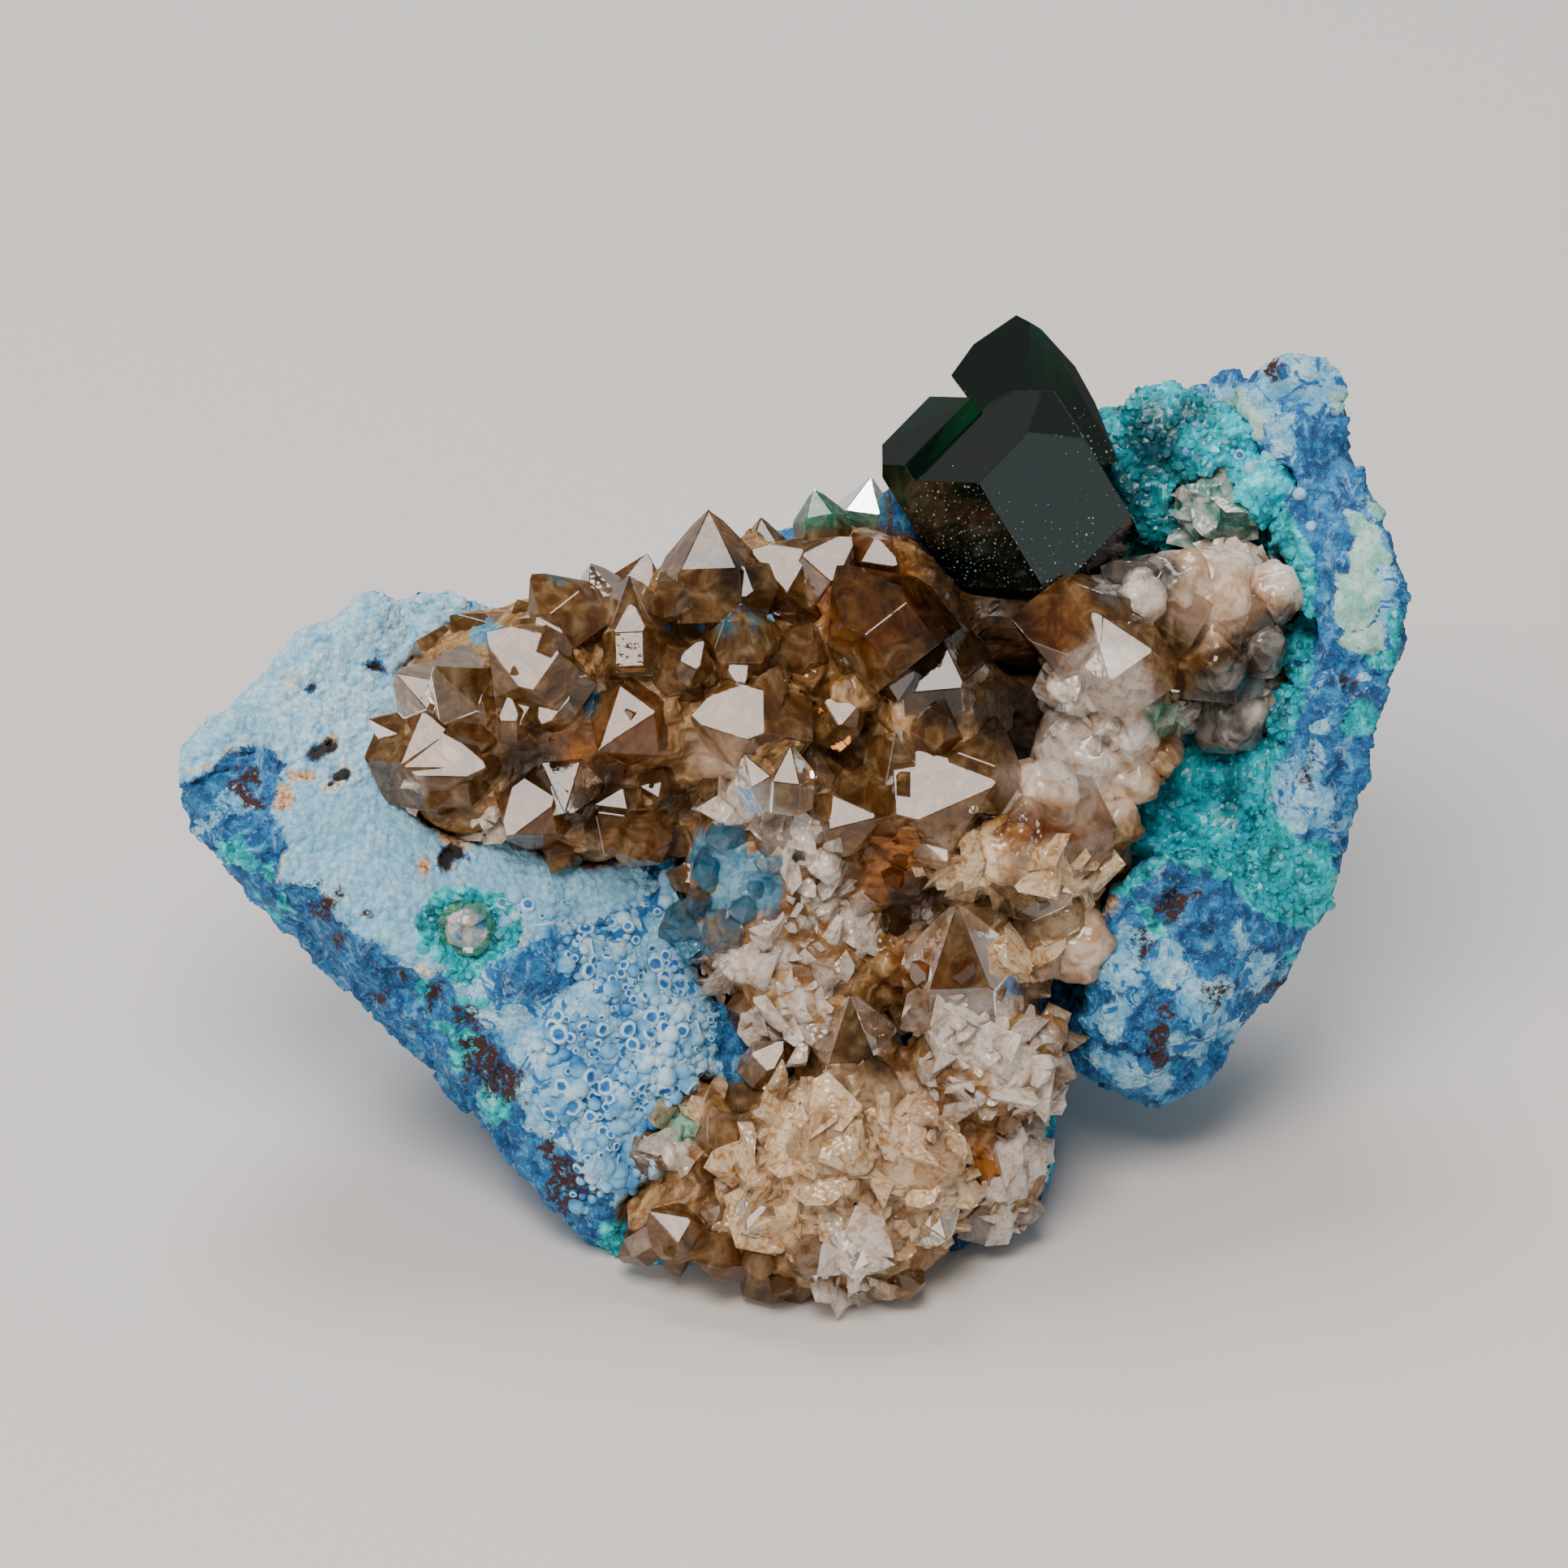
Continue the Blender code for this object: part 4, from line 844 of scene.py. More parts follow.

# %% [markdown]
# ## Tints in the quartz
# The quartz runs from smoke brown to amber, milky cream and clear grey, and here and
# there the blue rock shows through it or grows in it. Its dark spots are partly its own
# smoky tone and partly painted shade, in the crevice under the dioptase. The same idea
# as on the rock is used again: round spots of tint, stored on the mesh and read by the
# material.

# %% Tints of the quartz
TINTS = {
    "amber": [
        (5.2, 43.6, 3.4), (13.4, 41.0, 2.4), (16.0, 41.6, 2.4), (-9.2, 35.6, 2.0),
        (-13.6, 32.6, 3.0), (7.0, 27.0, 2.6), (9.2, 21.0, 2.4), (12.0, 28.0, 2.0),
        (11.4, 8.4, 2.0), (-6.4, 13.0, 1.6), (16.4, 28.6, 2.4),
    ],
    "yellow": [
        (3.0, 9.0, 5.8), (-1.0, 7.0, 3.6), (8.0, 7.4, 4.0), (10.9, 27.3, 2.6),
        (17.0, 26.0, 2.8), (14.8, 21.6, 2.0), (-6.0, 12.6, 2.0),
    ],
    "white": [
        (19.4, 38.8, 2.6), (18.0, 34.2, 2.6), (20.0, 36.2, 2.6), (17.4, 37.4, 1.8),
        (-2.4, 30.8, 1.8), (0.8, 28.0, 2.2), (2.4, 25.0, 2.4), (3.4, 22.8, 1.8),
        (-0.6, 21.8, 2.4), (0.6, 18.6, 2.4), (-4.0, 21.4, 1.8), (-3.4, 16.6, 1.6),
        (11.0, 16.6, 3.0), (13.6, 15.0, 3.2), (15.4, 13.0, 2.2), (10.4, 13.6, 2.0),
        (14.8, 9.4, 2.0), (13.4, 6.2, 1.6), (29.4, 37.4, 1.4), (31.0, 45.0, 1.6),
        (28.2, 49.0, 3.4), (21.8, 43.8, 1.2), (24.2, 36.4, 0.8), (4.0, 3.0, 2.4),
        (-7.0, 9.6, 1.4), (-18.6, 29.4, 1.2), (-23.0, 32.0, 0.8),
    ],
    "cream": [
        (26.2, 44.2, 3.4), (23.4, 45.2, 2.0), (16.6, 28.4, 2.2), (17.6, 22.4, 2.4),
        (-4.0, 34.0, 1.6), (19.4, 33.0, 3.2), (15.2, 32.4, 2.2), (6.8, 12.8, 1.6),
    ],
    # Partly the smoky quartz's own darker tone and partly painted shade: the spots under the dioptase
    # paint the shade of the crevice there.
    "dark": [
        (9.8, 38.4, 2.8), (12.4, 44.4, 2.6), (28.0, 38.0, 3.2), (5.0, 43.8, 2.4),
        (-15.6, 33.0, 2.2), (-12.0, 31.4, 2.0), (5.4, 16.4, 1.8), (14.4, 24.8, 1.6),
        (-3.4, 44.6, 1.8), (8.0, 24.6, 2.0), (13.4, 37.0, 2.6), (11.6, 41.0, 3.4),
        (20.6, 44.8, 1.8), (10.6, 45.0, 2.4), (15.2, 39.4, 1.4), (-6.6, 31.2, 1.0),
    ],
    "grey": [
        (27.6, 36.4, 3.0), (26.0, 34.4, 1.8), (30.2, 41.0, 2.0), (20.6, 44.6, 2.0), (22.6, 45.0, 1.6),
    ],
    "green": [
        (1.7, 49.4, 1.8), (5.0, 50.8, 2.6), (3.4, 49.8, 1.6), (-6.6, 11.2, 1.0), (23.0, 36.2, 0.9),
    ],
    "blue": [
        (-2.8, 41.6, 1.5), (-4.2, 27.6, 1.9), (-2.2, 26.0, 2.0), (-4.0, 24.6, 1.4),
        (-18.6, 41.6, 0.9), (-13.8, 45.0, 1.0), (-12.4, 37.4, 0.9), (-24.0, 37.0, 0.8),
        (-5.8, 22.6, 1.2), (23.6, 41.2, 0.6), (4.6, 51.2, 1.2), (-7.4, 21.6, 1.0),
    ],
}


def tint(mesh):
    """Store how far inside each tint the points of a quartz mesh lie."""
    for name, spots in TINTS.items():
        mark(mesh, name, spots)


print("tint spots:", {name: len(spots) for name, spots in TINTS.items()})

# %% Quartz: clear or cloudy, glossy, tinted by what is stored on the mesh
TINT_COLOURS = (                # dark, light, softness of the border in millimetres, pattern
    ("cream", "D4AC84", "FFEAD6", 0.9, "wisps"), ("amber", "7A3E0A", "BC7A34", 0.9, "wisps"),
    ("yellow", "C8924C", "FFE8C4", 0.9, "crumbs"), ("dark", "2C1A0A", "5E4222", 0.9, "wisps"),
    ("grey", "4A443E", "9A948C", 0.7, "wisps"), ("white", "DEC0A2", "FFFAF2", 0.6, "crumbs"),
    ("blue", "2F7FA8", "7DB8CC", 0.4, "wisps"), ("green", "1C8A74", "9CD0B4", 0.5, "wisps"),
)


def quartz(name, transmission, roughness, cloudiness, density, chipped, tones):
    """A quartz finish. Cloudy quartz scatters light, clear quartz lets it through."""
    material, tree = new_finish(name)
    place = add(tree, "place")
    wisps, crumbs, fray, veil, swell = [
        add(tree, "noise", place, per_metre(size), detail, 0.6, distortion)
        for size, detail, distortion in (
            (1.8, 6.0, 1.6), (0.55, 5.0, 0.8), (1.2, 4.0, 0.0), (2.2, 5.0, 1.0), (1.0, 3.0, 0.0))]
    patterns = {
        "wisps": where(tree, (wisps, 0.35, 0.65)), "crumbs": where(tree, (crumbs, 0.31, 0.58))}
    colour = add(tree, "ramp", wisps, stops=zip((0.30, 0.48, 0.60, 0.74), tones))
    for tint_name, dark, light, soft, kind in TINT_COLOURS:
        tone = layered(tree, dark, (light, patterns[kind]))
        colour = layered(tree, colour, (tone, covered(tree, tint_name, fray, 2.0, soft)))
    rough = add(tree, "times_plus", where(tree, (veil, 0.5, 0.72)), cloudiness, roughness)
    waves = add(tree, "bump", 0.25, 0.05 * MM, swell)
    chips = add(tree, "cells", place, per_metre(0.45))
    plug(tree, "Principled BSDF", {
        "Base Color": colour, "IOR": 1.545, "Transmission Weight": transmission, "Roughness": rough,
        "Normal": add(tree, "bump", chipped, 0.12 * MM, chips, waves)})
    if density:
        plug(tree, "Material Output", {"Volume": add(tree, "absorption", srgb("B98A54"), density)})
    return material


SMOKE = ("623F1A", "966A36", "C29C66", "EACFA8")
WATER = ("C4B2A4", "E4D8CE", "F6EEE8", "FFFFFF")
# transmission, roughness, cloudiness, absorption per metre, strength of the chips, tones
clear_smoke = quartz("smoky quartz, clear and glassy", 0.78, 0.03, 0.10, 80.0, 0.05, SMOKE)
cloudy_smoke = quartz("cloudy quartz, intergrown", 0.3, 0.40, 0.3, 0.0, 0.25, SMOKE)
broken_quartz = quartz("broken quartz, fresh and sharp", 0.42, 0.03, 0.08, 0.0, 0.8, SMOKE)
milky_quartz = quartz("milky quartz, worn smooth", 0.35, 0.10, 0.25, 0.0, 0.1, SMOKE)
water_quartz = quartz("rock crystal, clear as water", 0.35, 0.05, 0.10, 0.0, 0.2, WATER)
print("tints in the quartz:", [row[0] for row in TINT_COLOURS])

# %% [markdown]
# ## The body of the cluster
# Behind the points lies a mass of intergrown quartz, cloudy and full of cracks. It is
# the copied solid, made even, smoothed until its points are stubs and drawn in a
# little, so that the sharp points of the next step stand in it and not on it.

# %% The cloudy mass
BODY_SHRINK = 0.2               # millimetres

body = copy_solid("quartz_body", "smoky_quartz_cluster")
remeshed(body, 0.38, 2)


def chips_and_waves(place):
    """The mass is drawn in a little, and its surface is broken into small flat chips."""
    return 0.12 * (noise.cell(place * 1.1) - 0.5) + 0.2 * noise.noise(place * 0.7) - BODY_SHRINK


push_out(body.data, chips_and_waves)
tint(body.data)
finish_piece(body, cloudy_smoke, "smoky_quartz", "smoky_quartz_cluster")

# %% [markdown]
# ## The large quartz points
# A quartz point is a six-sided prism under six pyramid faces, which lie at 51.8
# degrees to the cross-section. Three of them are usually larger. Each crystal here is
# cleaved from a block by those planes, as a cutter would facet it, so every edge and
# angle is right. The points that flash in the photo all have one pyramid face square to
# the same direction, so that face mirrors the softbox: an axis that leans 52 degrees off
# that direction does it for any heading.

# %% The points: tip right, tip up, width, heading, lean off the bright side, stand
BRIGHT_SIDE = Vector((-0.05, 0.24, 0.97)).normalized()
QUARTZ_SLOPE = math.radians(51.8)
QUARTZ_POINTS = [
    (-18.4, 41.5, 5.8, 145, 52, 0.3), (-24.0, 39.0, 3.8, 150, 45, 0.2),
    (-20.8, 42.6, 5.0, 140, 66, 0.5), (-16.6, 43.6, 3.6, 112, 64, 0.4), (-22.9, 41.0, 3.4, 165, 40, 0.4),
    (-25.7, 36.2, 4.2, 170, 62, 0.1), (-21.6, 39.4, 4.6, 160, 30, 0.2),
    (-11.5, 34.3, 5.2, 234, 52, 0.3), (-5.9, 36.4, 5.4, 181, 52, 0.3),
    (-16.3, 35.8, 1.8, 262, 52, 0.7), (-15.0, 35.8, 3.2, 250, 52, 0.5),
    (-13.6, 41.4, 2.4, 350, 52, 0.6), (-18.4, 33.2, 6.4, 338, 50, 0.2),
    (-23.6, 33.2, 5.0, 200, 48, 0.2), (-22.2, 30.6, 3.6, 235, 60, 0.2),
    (-17.2, 29.0, 4.4, 238, 52, 0.4), (-13.6, 30.4, 4.2, 275, 46, 0.3),
    (-11.9, 30.9, 2.6, 192, 52, 0.5), (-11.2, 27.8, 3.0, 262, 66, 0.3),
    (-9.7, 45.0, 4.4, 94, 66, 0.5), (-12.1, 45.8, 3.2, 108, 72, 0.2),
    (-15.7, 45.1, 4.6, 128, 76, 0.2), (-8.6, 46.4, 3.2, 74, 56, 0.3),
    (-4.8, 49.0, 6.0, 92, 78, 0.2), (-1.6, 48.6, 5.0, 96, 82, 0.0),
    (-2.2, 46.6, 4.4, 150, 52, 0.3), (-2.8, 43.2, 4.8, 90, 30, 0.5),
    (-7.2, 40.6, 3.6, 110, 20, 0.4), (-5.1, 41.0, 2.2, 62, 52, 0.6),
    (0.4, 47.0, 4.4, 42, 52, 0.3), (1.4, 42.0, 3.4, 60, 30, 0.4),
    (3.6, 39.4, 3.6, 250, 34, 0.4), (4.0, 47.4, 4.0, 48, 56, 0.3),
    (6.8, 45.6, 2.8, 330, 52, 0.5), (8.4, 43.5, 6.8, 95, 52, 0.3),
    (3.0, 45.6, 6.6, 128, 78, 0.6), (12.8, 32.3, 7.2, 4, 52, 0.3),
    (5.7, 30.2, 3.8, 354, 52, 0.5), (9.8, 27.4, 3.2, 296, 52, 0.4),
    (0.2, 34.6, 3.0, 84, 52, 0.4), (-2.6, 34.0, 2.6, 120, 46, 0.4),
    (-7.6, 33.2, 2.4, 60, 52, 0.6), (-1.0, 31.6, 2.8, 100, 40, 0.4),
    (6.6, 35.4, 3.8, 100, 24, 0.3), (9.6, 37.2, 3.6, 60, 30, 0.3),
    (12.8, 36.4, 4.8, 70, 72, 0.2), (13.7, 42.3, 6.8, 176, 62, 0.3),
    (18.6, 42.7, 5.2, 125, 52, 0.5), (21.2, 42.6, 3.4, 60, 24, 0.6),
    (19.2, 45.6, 5.0, 150, 70, 0.2), (26.8, 45.6, 5.8, 85, 60, 0.1),
    (30.0, 44.2, 3.8, 40, 60, 0.1), (27.6, 41.4, 4.0, 300, 40, 0.3),
    (10.9, 27.3, 6.8, 206, 62, 0.3), (15.6, 20.0, 5.6, 266, 76, 0.2),
    (17.6, 25.4, 4.6, 330, 56, 0.1), (10.4, 24.8, 6.4, 92, 40, 0.2),
    (3.8, 19.2, 5.0, 92, 36, 0.2), (-0.2, 16.4, 2.6, 44, 52, 0.5),
    (5.4, 15.6, 3.8, 80, 40, 0.2), (11.0, 9.1, 4.0, 8, 62, 0.3),
    (7.7, 13.4, 3.0, 84, 66, 0.3), (-8.5, 6.0, 3.0, 150, 50, 0.1),
    (-2.5, 4.6, 2.8, 255, 46, 0.1), (4.0, 2.4, 3.2, 268, 56, 0.0),
    (9.8, 4.2, 3.6, 305, 56, 0.0), (1.7, 50.4, 3.2, 100, 80, 0.1),
    (5.2, 51.3, 3.8, 82, 80, 0.1), (2.0, 12.6, 4.8, 100, 34, 0.2),
    (-4.6, 12.4, 3.0, 110, 40, 0.2), (-20.6, 35.6, 3.4, 190, 20, 0.6),
    (-10.8, 38.4, 4.2, 210, 26, 0.3), (-8.4, 32.0, 3.4, 250, 30, 0.3),
    (-17.0, 37.6, 2.0, 90, 52, 0.6), (11.4, 30.4, 3.0, 280, 52, 0.5),
    (4.6, 37.6, 3.0, 30, 46, 0.5), (14.6, 30.0, 5.0, 320, 34, 0.2), (-9.6, 43.2, 3.2, 92, 84, 0.9),
    (17.4, 31.4, 4.6, 20, 44, 0.2), (-5.0, 43.8, 3.4, 200, 50, 0.3),
]


def cleave(shape, normal, distance):
    """Cut a crystal by one face and close the cut."""
    parts = shape.verts[:] + shape.edges[:] + shape.faces[:]
    cut = bmesh.ops.bisect_plane(
        shape, geom=parts, plane_co=normal * distance, plane_no=normal, clear_outer=True)
    rim = [part for part in cut["geom_cut"] if isinstance(part, bmesh.types.BMEdge)]
    if len(rim) > 2:
        bmesh.ops.edgeloop_fill(shape, edges=rim)


def block(size, middle=(0.0, 0.0, 0.0)):
    shape = bmesh.new()
    bmesh.ops.create_cube(shape, size=size, matrix=Matrix.Translation(middle))
    return shape


def quartz_crystal(width, length, dice, worn=0.0):
    """One point with its tip at the origin and its axis along Z."""
    shape = block(4.0 * length)
    large = dice.choice((0, 1))
    for side in range(6):
        angle = math.radians(60 * side)
        flat = Vector((math.cos(angle), math.sin(angle), 0.0))
        cleave(shape, flat, width / 2 * dice.uniform(0.90, 1.08))
        slope = flat * math.sin(QUARTZ_SLOPE) + Vector((0.0, 0.0, math.cos(QUARTZ_SLOPE)))
        behind = 0.0 if side % 2 == large or side == 0 else dice.uniform(0.02, 0.10) * width
        cleave(shape, slope, behind)
    cleave(shape, Vector((0.0, 0.0, -1.0)), length)
    if worn:
        bmesh.ops.bevel(shape, geom=shape.edges[:], offset=worn, segments=1, affect="EDGES")
    return shape


def axis_turn(axis, towards):
    """A turn that lays Z along an axis, with X on the side that looks a given way."""
    side = (towards - axis * towards.dot(axis)).normalized()
    return Matrix((side, axis.cross(side), axis)).transposed()


# %% Cleave them
POINT_WORN = 0.05               # millimetres worn off the edges


def quartz_points():
    dice = random.Random(7)
    shapes = []
    for right, up, width, heading, lean, stand in QUARTZ_POINTS:
        way = math.radians(heading)
        across = Vector((math.cos(way), math.sin(way), 0.0))
        across = (across - BRIGHT_SIDE * across.dot(BRIGHT_SIDE)).normalized()
        axis = BRIGHT_SIDE * math.cos(math.radians(lean)) + across * math.sin(math.radians(lean))
        inset = 0.12 * width
        out = quartz_out(right - axis.x * inset, up - axis.y * inset)
        shape = quartz_crystal(width, width * dice.uniform(1.1, 1.4), dice, POINT_WORN)
        place = Matrix.Translation((right, up, out + axis.z * inset * 0.6 + stand))
        turn = axis_turn(axis, BRIGHT_SIDE).to_4x4()
        bmesh.ops.transform(shape, matrix=place @ turn, verts=shape.verts)
        shapes.append(shape)
    return face_piece("quartz_points", shapes)


points = quartz_points()
tint(points.data)
finish_piece(points, clear_smoke, "smoky_quartz")

# %% [markdown]
# ## Milky lobes
# Between the sharp points, mostly on the right, the quartz has grown as smooth milky
# lumps and rounded beads. Each is a sphere, flattened, swollen by slow noise and sunk
# into the mass by a part of its radius. A few flat worn facets are cut into it too.

# %% The lobes: right, up, radius
LOBES = [
    (26.4, 43.6, 3.3), (24.0, 44.6, 2.2), (29.8, 44.0, 2.0), (28.8, 40.6, 2.1), (26.2, 40.4, 2.4),
    (27.6, 36.6, 2.6), (30.2, 41.8, 1.2), (18.1, 34.2, 3.3), (21.4, 35.6, 1.6), (15.6, 31.6, 2.2),
    (17.0, 38.2, 1.1), (18.8, 38.0, 1.2), (20.6, 37.6, 1.2), (22.2, 36.6, 1.1), (16.4, 37.2, 0.9),
    (19.8, 39.6, 1.0), (21.8, 39.0, 1.3), (21.6, 43.4, 1.9), (22.9, 41.4, 1.0), (23.2, 34.0, 1.3),
    (21.4, 32.4, 1.6), (20.2, 29.8, 1.8), (13.8, 28.2, 2.4), (17.6, 22.6, 2.6), (16.2, 16.8, 1.2),
    (1.4, 38.9, 1.8), (4.0, 37.9, 1.6), (-2.6, 21.2, 1.4), (-0.2, 30.6, 1.2), (2.4, 27.4, 1.2),
    (-6.4, 16.0, 1.2), (6.0, 21.4, 1.6), (-8.8, 8.0, 1.2), (-7.0, 9.4, 1.0), (-9.4, 41.2, 1.3),
]


def lobe(right, up, radius, seed):
    shape = bmesh.new()
    bmesh.ops.create_icosphere(shape, subdivisions=4, radius=1.0)
    middle = Vector((right, up, quartz_out(right, up) - 0.45 * radius))
    dice = random.Random(seed)
    facets = [(Vector([dice.gauss(0.0, 1.0) for _ in range(3)]).normalized(), dice.uniform(0.80, 0.97))
              for _ in range(14)]
    for vert in shape.verts:
        way = vert.co.normalized()
        swell = min([1.0] + [depth / way.dot(facet) for facet, depth in facets if way.dot(facet) > 0.3])
        swell += 0.26 * noise.noise(way * 1.4 + Vector((seed, 0.0, 0.0)))
        swell += 0.08 * noise.noise(way * 4.0 + Vector((0.0, seed, 0.0)))
        vert.co = middle + Vector((way.x, way.y, way.z * 0.9)) * radius * swell
    return shape


lobes = face_piece("milky_quartz", [lobe(*row, 7.3 * count) for count, row in enumerate(LOBES)])
tint(lobes.data)
lobes.data.shade_smooth()
finish_piece(lobes, milky_quartz, "smoky_quartz")

# %% [markdown]
# ## Small crystals, scattered by a tree
# Between the large points sit hundreds of small ones, each grown away from the surface
# below it. Placing them by hand is hopeless and an array would line them up. A Geometry
# Nodes tree spreads points over the mass with a least distance, stands one of a few
# small crystals on each, leans it by chance and scales it by chance. Its last nodes turn
# the instances into real mesh and give it a material. The same tree lays flat splinters
# where the quartz is broken.

# %% The scattering tree
KINDS.update({
    "spread": ("GeometryNodeDistributePointsOnFaces", {"distribute_method": "POISSON"},
               ("Mesh", "Distance Min", "Density Max", "Density Factor", "Seed"), "Points"),
    "chances": ("FunctionNodeRandomValue", {"data_type": "FLOAT_VECTOR"}, (0, 1, "Seed"), 0),
    "chance": ("FunctionNodeRandomValue", {"data_type": "FLOAT"}, ("Seed",), 1),
    "choice": ("FunctionNodeRandomValue", {"data_type": "INT"}, (4, 5, "Seed"), 2),
    "join": ("ShaderNodeCombineXYZ", {}, (0, 1, 2), 0),
    "angles": ("FunctionNodeEulerToRotation", {}, (0,), 0),
    "turn": ("FunctionNodeRotateRotation", {"rotation_space": "LOCAL"}, ("Rotation", "Rotate By"), 0),
    "kinds": ("GeometryNodeCollectionInfo", {}, ("Collection", "Separate Children", "Reset Children"), 0),
    "stand": ("GeometryNodeInstanceOnPoints", {},
              ("Points", "Instance", "Pick Instance", "Instance Index", "Rotation", "Scale"), 0),
    "realize": ("GeometryNodeRealizeInstances", {}, ("Geometry",), 0),
    "dress": ("GeometryNodeSetMaterial", {}, ("Geometry", "Material"), 0),
})
SCATTER_INPUTS = {
    "Crystals": "Collection", "Kinds": "Int", "Spacing": "Float", "Most": "Float",
    "Where": "String", "From": "Float", "To": "Float", "Smallest": "Float",
    "Largest": "Float", "Lean": "Float", "Seed": "Int", "Finish": "Material",
}
RARE = 2.2                      # the higher, the fewer of the crystals are large


def scatter_tree():
    tree, given = new_tree("scatter crystals", SCATTER_INPUTS)
    seed, lean = given["Seed"], given["Lean"]
    share = add(tree, "range", add(tree, "named", given["Where"]), given["From"], given["To"])
    spots = add(tree, "spread", given["Geometry"], given["Spacing"], given["Most"], share, seed)
    leans = add(tree, "split", add(tree, "chances", (0.0, 0.0, 0.0), (1.0, 1.0, 1.0), seed)).node.outputs
    other_way = add(tree, "times", lean, -1.0)
    tilts = [add(tree, "range", leans[axis], None, None, other_way, lean) for axis in (0, 1)]
    spin = add(tree, "times", leans[2], 2 * math.pi)
    turned = add(tree, "angles", add(tree, "join", *tilts, spin))
    turned = add(tree, "turn", spots.node.outputs["Rotation"], turned)
    rare = add(tree, "power", add(tree, "chance", seed), RARE)
    size = add(tree, "range", rare, None, None, given["Smallest"], given["Largest"])
    choice = add(tree, "choice", 0, add(tree, "minus", given["Kinds"], 1.0), seed)
    kinds = add(tree, "kinds", given["Crystals"], True, True)
    placed = add(tree, "stand", spots, kinds, True, choice, turned, size)
    marked = add(tree, "store", placed, "lot", add(tree, "chance", seed), domain="INSTANCE")
    real = add(tree, "realize", marked)
    plug(tree, "Group Output", {0: add(tree, "dress", real, given["Finish"])})
    return tree


SCATTER = scatter_tree()


def scatter(name, over, kinds, where_stored, limits, spacing, sizes, lean, seed, finish, slot):
    """Scatter small crystals over a copy of a mesh and finish the result as a piece."""
    piece = add_object(name, over.copy())
    run_tree(piece, SCATTER, {
        "Crystals": kinds, "Kinds": len(kinds.objects), "Spacing": spacing * MM,
        "Most": 2.0 / (spacing * MM) ** 2, "Where": where_stored, "From": limits[0], "To": limits[1],
        "Smallest": sizes[0], "Largest": sizes[1], "Lean": math.radians(lean), "Seed": seed,
        "Finish": finish})
    finish_piece(piece, finish, slot)


print("scattering tree:", len(SCATTER.nodes), "nodes")

# %% Small quartz crystals and splinters to scatter, one millimetre wide


def crystal_set(name, shapes):
    """A hidden collection of small crystals for the tree to pick from."""
    group = bpy.data.collections.new(name)
    for count, shape in enumerate(shapes):
        bmesh.ops.scale(shape, vec=(MM, MM, MM), verts=shape.verts)
        bmesh.ops.recalc_face_normals(shape, faces=shape.faces)
        mesh = written(shape, f"{name} {count}")
        group.objects.link(bpy.data.objects.new(mesh.name, mesh))
    return group


def small_quartz(count, height, root):
    """Small points that stand out by a height and reach down by a root."""
    dice = random.Random(31)
    shapes = []
    for _ in range(count):
        shape = quartz_crystal(1.0, height + root, dice)
        bmesh.ops.translate(shape, vec=(0.0, 0.0, height), verts=shape.verts)
        shapes.append(shape)
    return shapes


small_points = crystal_set("small quartz point", small_quartz(4, 0.75, 0.6))


def shards(count, thickness):
    """Sharp flat splinters of broken quartz, one millimetre long: the hulls of a few corners."""
    dice = random.Random(52)
    shapes = []
    for _ in range(count):
        ways = [Vector([dice.gauss(0.0, 1.0) for _ in range(3)]).normalized() for _ in range(10)]
        wide = dice.uniform(0.40, 0.60)
        shape = bmesh.new()
        for way in ways:
            bmesh.ops.create_vert(shape, co=(way.x * 0.66, way.y * wide, way.z * thickness))
        hull = bmesh.ops.convex_hull(shape, input=shape.verts)
        spare = [item for item in hull["geom_interior"] if isinstance(item, bmesh.types.BMVert)]
        bmesh.ops.delete(shape, geom=spare, context="VERTS")
        shapes.append(shape)
    return shapes


splinters = crystal_set("quartz splinter", shards(8, 0.30))

# %% Fill the gaps between the large points
FREE = 3.0                      # millimetres of room where nothing stands near


def mark_room(mesh):
    """Store where small crystals may stand: in front, and clear of the large points."""
    flat = face_places(mesh)[:, :2]
    taken = [(right, up, 0.5 * width) for right, up, width, *_ in QUARTZ_POINTS] + LOBES
    room = np.minimum(FREE, -inside_spots(flat, taken))
    white, yellow, cream = [stored_values(mesh, name) for name in ("white", "yellow", "cream")]
    room = np.minimum(room, 0.5 - np.maximum.reduce([white, yellow, cream]))
    facing = facing_out(mesh)
    for name, values, least in (
            ("room", room, -0.2), ("broken_white", white, -0.3), ("broken_yellow", yellow, -0.3)):
        store(mesh, name, np.where(facing > least, values, NO_COLOUR))


mark_room(body.data)
for row in (
        ("small_quartz_points", body.data, small_points, "room", (0.0, 0.8), 2.0, (1.6, 3.4), 34, 3,
         clear_smoke, "smoky_quartz"),
        ("tiny_quartz_points", body.data, small_points, "room", (-0.6, 0.2), 2.2, (0.6, 1.4), 45, 4,
         clear_smoke, "smoky_quartz"),
        ("broken_white_quartz", body.data, splinters, "broken_white", (-0.5, 0.4), 0.75, (0.9, 3.6),
         80, 5, broken_quartz, "clear_quartz"),
        ("broken_yellow_quartz", body.data, splinters, "broken_yellow", (-0.5, 0.4), 0.95, (1.1, 4.4),
         80, 6, broken_quartz, "clear_quartz")):
    scatter(*row)
for name, less in (("white", 1.6), ("yellow", 1.2)):
    store(body.data, name, stored_values(body.data, name) - less)

# %% [markdown]
# ## Dioptase
# Dioptase is emerald green glass by nature: it bends light more than quartz (IOR about
# 1.66) and soaks up so much of it that a crystal a centimetre thick looks black, with
# green only where it is thin, along its edges. That is what volume absorption does. A
# green paint would never go dark in the middle.
# The two front crystals and the left one are cleaved by the faces of the real mineral,
# three rhomb faces over six prism faces. The top crystal is broken, so it is cut from a
# block by planes through the corners that the photo shows.

